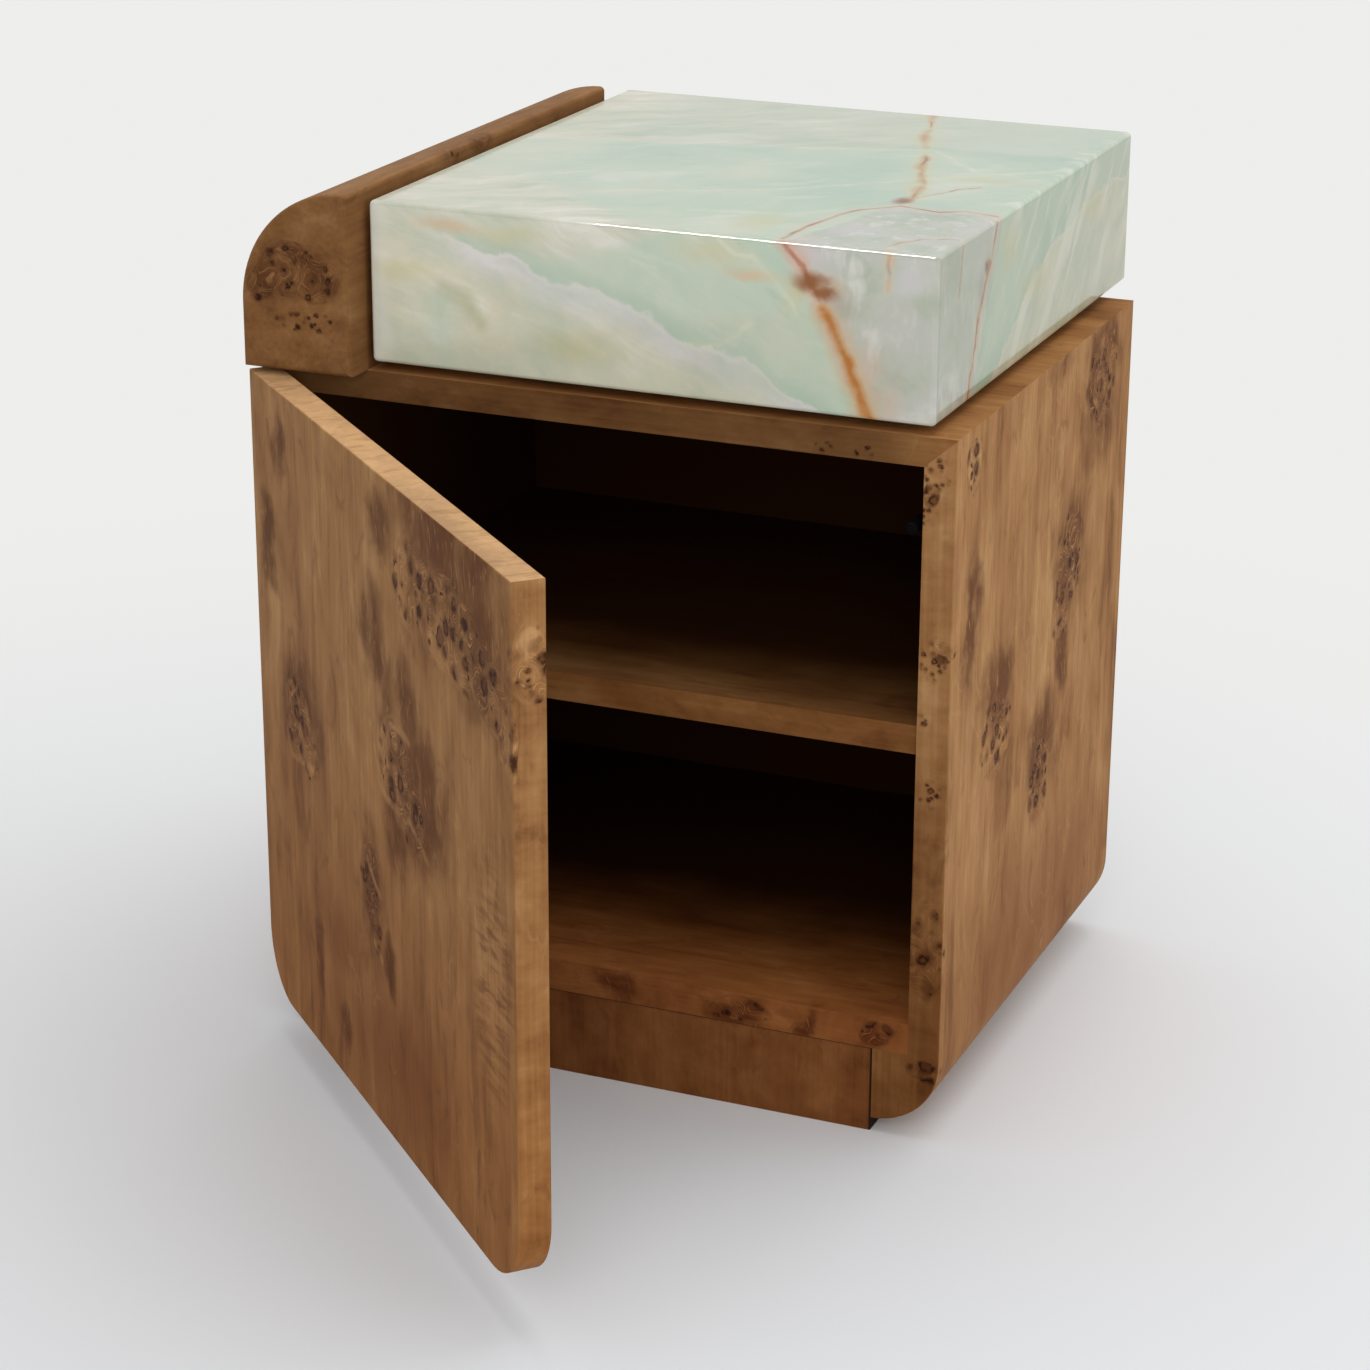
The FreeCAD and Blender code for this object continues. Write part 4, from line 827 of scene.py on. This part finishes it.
DOOR_FORKS = [
    on_door_face(
        (0.000, 0.244), (0.005, 0.228), (0.017, 0.2215), (0.034, 0.221), (0.051, 0.222), (0.064, 0.216),
        (0.079, 0.210),
    ),
    on_door_face((-0.150, 0.200), (-0.143, 0.189), (-0.127, 0.190), (-0.107, 0.192)),
    on_door_face((0.026, 0.264), (0.040, 0.267), (0.052, 0.2655)),
    on_door_face((-0.021, 0.180), (-0.009, 0.169), (0.002, 0.162)),
    on_door_face((-0.008, 0.131), (0.003, 0.126)),
]
DOOR_RED_SHADE = spots(1, DOOR_FACE, 0.030, (0.020, 0.076, 0.110, 0.056), (-0.060, 0.110, 0.050, 0.030))
SIDE_EYES = [
    *spots(0, HALF_WIDTH, 0.014,
        (0.098, 0.366, 0.030, 0.026), (0.048, 0.270, 0.026, 0.030), (0.038, 0.245, 0.020, 0.020),
        (-0.078, 0.210, 0.028, 0.026), (0.006, 0.152, 0.020, 0.026), (-0.130, 0.376, 0.014, 0.014),
    ),
    *spots(1, FRONT, 0.010,
        (0.184, 0.364, 0.006, 0.007), (0.195, 0.284, 0.006, 0.007), (0.190, 0.112, 0.012, 0.030),
    ),
]
STILE_DOTS = spots(1, FRONT, 0.006,
    (0.186, 0.377, 0.012, 0.010), (0.184, 0.354, 0.007, 0.006), (0.190, 0.276, 0.008, 0.012),
    (0.186, 0.243, 0.009, 0.004), (0.190, 0.202, 0.008, 0.009),
)
SIDE_SMOKE = spots(0, HALF_WIDTH, 0.014,
    (0.050, 0.275, 0.034, 0.044), (0.100, 0.378, 0.040, 0.024), (0.018, 0.388, 0.024, 0.012),
    (-0.076, 0.236, 0.028, 0.026), (0.008, 0.172, 0.026, 0.036), (0.042, 0.215, 0.014, 0.026),
    (-0.124, 0.290, 0.014, 0.044), (0.098, 0.352, 0.040, 0.040),
)
SIDE_RED_SHADE = spots(0, HALF_WIDTH, 0.020, (0.0, 0.060, 0.170, 0.080))
UPSTAND_EYES = spots(1, UPSTAND_FACE, 0.016,
    (-0.172, 0.452, 0.020, 0.016), (-0.154, 0.446, 0.014, 0.014), (-0.188, 0.444, 0.010, 0.012),
)
TOP_DOTS = spots(1, FRONT, 0.006, (0.128, 0.3835, 0.007, 0.004), (0.149, 0.3845, 0.008, 0.004))
UPSTAND_DOTS = spots(1, UPSTAND_FACE, 0.014, (-0.160, 0.424, 0.024, 0.006))
RAIL_EYES = spots(1, FRONT, 0.010, (0.084, 0.058, 0.020, 0.008), (0.166, 0.060, 0.010, 0.008))
RAIL_SMOKE = RAIL_EYES + spots(1, FRONT, 0.010, (0.008, 0.062, 0.014, 0.010), (0.124, 0.058, 0.006, 0.012))
DOOR_RIPPLE = spots(1, DOOR_FACE, 0.014, (0.166, 0.180, 0.032, 0.080))
LEFT_RED_SHADE = spots(0, -HALF_WIDTH, 0.02, (0.0, 0.05, 0.17, 0.08))
FOOT_EYES = spots(1, FRONT, 0.010, (0.192, 0.041, 0.010, 0.008))


def dress_nodes():
    dress(["door_panel"], burl(
        "burl_door", "z", (0.13, 0.4, 0.27), DOOR_EYES, DOOR_SMOKE, DOOR_RED_SHADE, wild=1.0,
        wild_only=DOOR_INSIDE, turn=True, ripple=DOOR_RIPPLE,
        edge_figure=(1.0, 0.4, 1.0), edge_axis=0, facing_light=(0.12, -0.04, 0.52), lit_top_honey=0.45,
        low_shade_tint=(0.84, 0.70, 0.55), low_front_only=False, forks=DOOR_FORKS, gloss=0.03))
    dress(["right_side_panel"], burl(
        "burl_right", "z", (0.61, 0.2, 0.11), SIDE_EYES + FOOT_EYES, SIDE_SMOKE, SIDE_RED_SHADE,
        shade_inside=(0.0, 0.02), edge_figure=(0.4, 1.0, 1.0), dots=STILE_DOTS, facing_light=(0.24, 0.08, 0.45),
        low_shade_tint=(0.49, 0.39, 0.30), gloss=0.03))
    dress(["left_side_panel"], burl(
        "burl_left", "z", (1.7, 0.9, 0.33), wild=1.0, red_low_shade=LEFT_RED_SHADE, shade_inside=(0.0, 0.03)))
    dress(["curved_upstand"], burl(
        "burl_upstand", "y", (0.37, 1.2, 0.71), UPSTAND_EYES, UPSTAND_EYES, wild=0.8,
        wild_only=UPSTAND_INSIDE, dots=UPSTAND_DOTS, tint=(0.70, 0.64, 0.58, 1.0),
        edge_figure=(0.6, 1.0, 1.0), facing_light=(0.0, -0.08, 0.04), lit_top_honey=0.06))
    dress(["top_panel"], burl(
        "burl_top", "x", (0.91, 0.5, 1.3), tint=(0.74, 0.68, 0.60, 1.0), shade_inside=(0.0, 0.02),
        edge_figure=(0.5, 1.0, 0.8), dots=TOP_DOTS, facing_light=(0.0, -0.36, 0.60), end_lift=(0.150, 0.196, 0.8)))
    dress(["floor_panel"], burl(
        "burl_floor", "x", (0.23, 0.7, 0.55), RAIL_EYES, RAIL_SMOKE, tint=(0.75, 0.53, 0.37, 1.0),
        shade_inside=(0.02, 0.15), edge_figure=(0.9, 1.0, 0.6), facing_light=(0.0, 0.0, 0.55)))
    dress(["shelf"], burl(
        "burl_shelf", "x", (0.83, 0.1, 0.95), tint=(0.68, 0.58, 0.46, 1.0), shade_inside=(0.004, 0.10),
        edge_figure=(0.5, 1.0, 0.8)))
    dress(["back_panel"], burl(
        "burl_back", "z", (2.3, 0.6, 0.45), wild=0.9, tint=(0.9, 0.88, 0.86, 1.0),
        shade_inside=(0.0, 0.02)))
    dress(["plinth_front", "plinth_back"], burl(
        "burl_plinth", "z", (0.47, 1.1, 0.85), tint=(0.56, 0.40, 0.29, 1.0), edge_figure=(0.7, 1.0, 0.8),
        joint_at=(PLINTH_END, PLINTH_TOP)))
    dress(["plinth_left_rail", "plinth_centre_rail", "plinth_right_rail"], plain_wood(
        "rail_wood", linear(176, 142, 100), linear(208, 176, 132), "y"))
    dress(["mitre_tongues", "floor_dowels"], plain_wood(
        "dowel_wood", linear(182, 146, 102), linear(212, 180, 136), "x"))
    dress(["stone_block"], onyx())
    dress(["stone_spacer"], grained(
        "black_board_paint", (24, 22, 20), (40, 37, 34), 700.0, 3.0, 0.6, 0.5, 0.0002))
    dress([
        "shelf_pins", "back_panel_screws", "plinth_screws", "upstand_screws", "spacer_screws",
        "upper_hinge_arm", "lower_hinge_arm", "upper_hinge_block", "lower_hinge_block",
        "upper_hinge_pin", "lower_hinge_pin", "hinge_arm_screws", "hinge_block_screws",
        "latch_spring", "latch_screws", "strike_plate",
    ], steel())
    dress(["latch_body", "latch_plunger"], grained(
        "black_plastic_moulded", (7, 7, 7), (15, 15, 15), 1500.0, 3.0, 0.6, 0.5, 0.00008,
        Specular_IOR_Level=0.03))
    dress(["door_bumpers"], grained(
        "bumper_rubber_soft", (118, 114, 108), (140, 136, 130), 900.0, 2.0, 0.5, 0.6, 0.0001))


# Hardware that replaces plain solids of the frame: cross-recess screws and the latch's spring
SCREW_SIDES = 28
SCREW_EASE = 0.0001
SCREW_POINT = 0.25
SAME_POINT = 1e-6
RECESS_REACH = 0.60
RECESS_HALF_WIDTH = 0.15
RECESS_DEPTH = 0.50
RECESS_TAPER = 0.55
WIRE_RADIUS = 0.0004
COIL_TURNS = 11
COIL_STEPS = 28
WIRE_SIDES = 10
CLOSED_TURN = 2.1 * WIRE_RADIUS
SMOOTH_ANGLE = math.radians(35)
DOOR_TURN = Matrix.Translation(PIVOT) @ Matrix.Rotation(DOOR_ANGLE, 4, "Z") @ Matrix.Translation(-PIVOT)


def solids_of(node, on_door):
    """The points of each separate solid in a CAD node; the door's are turned back to shut."""
    data = bmesh.new()
    data.from_mesh(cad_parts[node].data)
    bmesh.ops.remove_doubles(data, verts=data.verts, dist=SAME_POINT)
    if on_door:
        data.transform(DOOR_TURN.inverted())
    seen = set()
    solids = []
    for first in data.verts:
        if first in seen:
            continue
        seen.add(first)
        queue = [first]
        points = []
        while queue:
            vert = queue.pop()
            points.append(vert.co.copy())
            for edge in vert.link_edges:
                other = edge.other_vert(vert)
                if other not in seen:
                    seen.add(other)
                    queue.append(other)
        solids.append(points)
    data.free()
    return solids


def loop_of(data, points):
    """New corners at the points, and the edges of the closed line through them."""
    verts = [data.verts.new(p) for p in points]
    edges = [data.edges.new((a, b)) for a, b in zip(verts, verts[1:] + verts[:1])]
    return verts, edges


def join_loops(data, one, other):
    for i in range(len(one)):
        j = (i + 1) % len(one)
        data.faces.new((one[i], one[j], other[j], other[i]))


def add_screw(data, points, axis, outward):
    """A countersunk screw with a cross recess, where the plain one with these points is."""
    low = Vector([min(p[i] for p in points) for i in range(3)])
    high = Vector([max(p[i] for p in points) for i in range(3)])
    first, second = [i for i in range(3) if i != axis]
    face = high[axis] if outward > 0 else low[axis]
    length = high[axis] - low[axis]
    head = (high[first] - low[first]) / 2
    middle = (low + high) / 2
    far = [p for p in points if abs(p[axis] - face) > length / 2]
    shank = max(math.hypot(p[first] - middle[first], p[second] - middle[second]) for p in far)

    def at(a, b, depth):
        spot = Vector((0.0, 0.0, 0.0))
        spot[axis] = face - outward * depth
        spot[first] = middle[first] + a
        spot[second] = middle[second] + b
        return spot

    def ring(radius, depth):
        turns = [2 * math.pi * i / SCREW_SIDES for i in range(SCREW_SIDES)]
        return loop_of(data, [at(radius * math.cos(t), radius * math.sin(t), depth) for t in turns])

    def cross(scale, depth):
        reach = head * RECESS_REACH * scale
        half = head * RECESS_HALF_WIDTH * (1 + scale) / 2
        arm = [(half, half), (reach, half), (reach, -half)]
        spots = []
        for quarter in range(4):
            turn = Matrix.Rotation(-quarter * math.pi / 2, 2)
            spots += [turn @ Vector(p) for p in arm]
        return loop_of(data, [at(p[0], p[1], depth) for p in spots])

    rims = [
        ring(head - SCREW_EASE, 0.0), ring(head - SCREW_EASE / 2, SCREW_EASE), ring(shank, head - shank),
        ring(shank, length - shank), ring(shank * SCREW_POINT, length),
    ]
    for (one, _), (other, _) in zip(rims, rims[1:]):
        join_loops(data, one, other)
    data.faces.new(rims[-1][0])
    mouth, mouth_edges = cross(1.0, 0.0)
    pit, _ = cross(RECESS_TAPER, head * RECESS_DEPTH)
    join_loops(data, mouth, pit)
    data.faces.new(pit)
    bmesh.ops.triangle_fill(data, use_beauty=True, edges=rims[0][1] + mouth_edges)


def made_piece(name, data, body, node):
    """A new steel piece from the mesh data, standing for a CAD node and riding on its body."""
    bmesh.ops.recalc_face_normals(data, faces=data.faces)
    mesh = bpy.data.meshes.new(name)
    data.to_mesh(mesh)
    data.free()
    mesh.polygons.foreach_set("use_smooth", [True] * len(mesh.polygons))
    mesh.set_sharp_from_angle(angle=SMOOTH_ANGLE)
    piece = bpy.data.objects.new(name, mesh)
    bpy.context.scene.collection.objects.link(piece)
    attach(piece, body)
    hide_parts(node)
    return piece


def make_screws(node, axis, outward, on_door=False):
    data = bmesh.new()
    for points in solids_of(node, on_door):
        add_screw(data, points, axis, outward)
    if on_door:
        data.transform(DOOR_TURN)
    return made_piece(node + "_cross", data, "door" if on_door else "cabinet", node)


def make_spring():
    """A coil with closed ends, in the place of the latch's plain spring."""
    low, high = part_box("latch_spring")
    middle = (low + high) / 2
    radius = (high.x - low.x) / 2 - WIRE_RADIUS
    start = low.y + WIRE_RADIUS
    span = high.y - WIRE_RADIUS - start
    data = bmesh.new()
    rings = []
    for i in range(COIL_TURNS * COIL_STEPS + 1):
        turn = i / COIL_STEPS
        if turn < 1:
            y = start + CLOSED_TURN * turn
        elif turn > COIL_TURNS - 1:
            y = start + span - CLOSED_TURN * (COIL_TURNS - turn)
        else:
            y = start + CLOSED_TURN + (span - 2 * CLOSED_TURN) * (turn - 1) / (COIL_TURNS - 2)
        outward = Vector((math.cos(2 * math.pi * turn), 0.0, math.sin(2 * math.pi * turn)))
        centre = Vector((middle.x, y, middle.z)) + outward * radius
        around = [2 * math.pi * k / WIRE_SIDES for k in range(WIRE_SIDES)]
        rings.append([
            data.verts.new(centre + (outward * math.cos(a) + Vector((0.0, math.sin(a), 0.0))) * WIRE_RADIUS)
            for a in around
        ])
    for one, other in zip(rings, rings[1:]):
        join_loops(data, one, other)
    data.faces.new(rings[0])
    data.faces.new(rings[-1])
    piece = made_piece("latch_spring_coil", data, "cabinet", "latch_spring")
    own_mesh(piece)
    return piece


def make_hardware():
    pieces = [
        make_screws("back_panel_screws", 1, 1),
        make_screws("hinge_arm_screws", 0, 1),
        make_screws("hinge_block_screws", 0, -1, on_door=True),
        make_screws("latch_screws", 0, -1),
        make_screws("upstand_screws", 2, -1),
        make_spring(),
    ]
    finish = steel()
    for piece in pieces:
        piece.data.materials.append(finish)


# Studio: a pale floor, an even sky and soft lamps
FLOOR_HALF = 8.0
FLOOR_MIDDLE = (0.0, -0.30, 0.0)
FADE_START = 0.25
FADE_END = 1.26
SKY_STRENGTH = 0.58
FLOOR_TONE = linear(238, 240, 243)
BACKGROUND = linear(238, 238, 236)


def make_floor():
    mesh = bpy.data.meshes.new("studio_floor")
    corners = [(FLOOR_HALF * i, FLOOR_HALF * j, 0.0) for i, j in ((-1, -1), (1, -1), (1, 1), (-1, 1))]
    mesh.from_pydata(corners, [], [(0, 1, 2, 3)])
    floor = bpy.data.objects.new("studio_floor", mesh)
    bpy.context.scene.collection.objects.link(floor)
    g = Graph("studio_floor")
    distance = g.vector("DISTANCE", g.place(), FLOOR_MIDDLE)
    plain = g.fill(g.node("BsdfDiffuse"), Color=FLOOR_TONE)
    glow = g.fill(g.node("Emission"), Color=BACKGROUND)
    rays = g.node("LightPath").outputs
    mirrored = g.most(rays["Is Glossy Ray"], rays["Is Transmission Ray"])
    seen = g.most(rays["Is Camera Ray"], mirrored)
    g.blend(g.mul(seen, g.step(distance, FADE_START, FADE_END)), plain, glow)
    mesh.materials.append(g.owner)


def make_sky():
    g = Graph("studio_sky", "World")
    even = g.fill(g.node("Background"), Color=(1.0, 1.0, 1.0, 1.0), Strength=SKY_STRENGTH)
    seen = g.fill(g.node("Background"), Color=BACKGROUND)
    rays = g.node("LightPath").outputs
    g.blend(g.most(rays["Is Camera Ray"], rays["Is Transmission Ray"]), even, seen)
    bpy.context.scene.world = g.owner


def lamp(name, place, target, size, power, diffuse=True, gloss=True):
    data = bpy.data.lights.new(name, "AREA")
    data.shape = "RECTANGLE"
    data.size, data.size_y = size
    data.energy = power
    made = bpy.data.objects.new(name, data)
    bpy.context.scene.collection.objects.link(made)
    made.location = place
    made.rotation_mode = "QUATERNION"
    made.rotation_quaternion = (Vector(target) - Vector(place)).to_track_quat("-Z", "Y")
    made.visible_diffuse = diffuse
    made.visible_glossy = gloss


make_camera()
make_floor()
make_sky()
lamp("overhead_lamp", (0.3, 0.4, 2.6), (0.0, 0.0, 0.2), (2.4, 2.4), 24.0)
lamp("side_lamp", (2.6, -0.6, 1.4), (0.0, 0.0, 0.3), (1.6, 1.6), 5.5)
lamp("front_lamp", (0.7, -2.8, 1.5), (0.0, 0.0, 0.3), (1.8, 1.6), 18.5, gloss=False)
lamp("front_gloss_lamp", (0.7, -2.8, 1.5), (0.0, 0.0, 0.3), (1.8, 1.6), 6.0, diffuse=False)
lamp("edge_lamp", (-0.50, -0.54, 2.0), (-0.50, -0.54, 0.0), (0.36, 0.30), 27.0, diffuse=False)
dress_nodes()
make_hardware()

bpy.context.scene.view_settings.view_transform = "Standard"
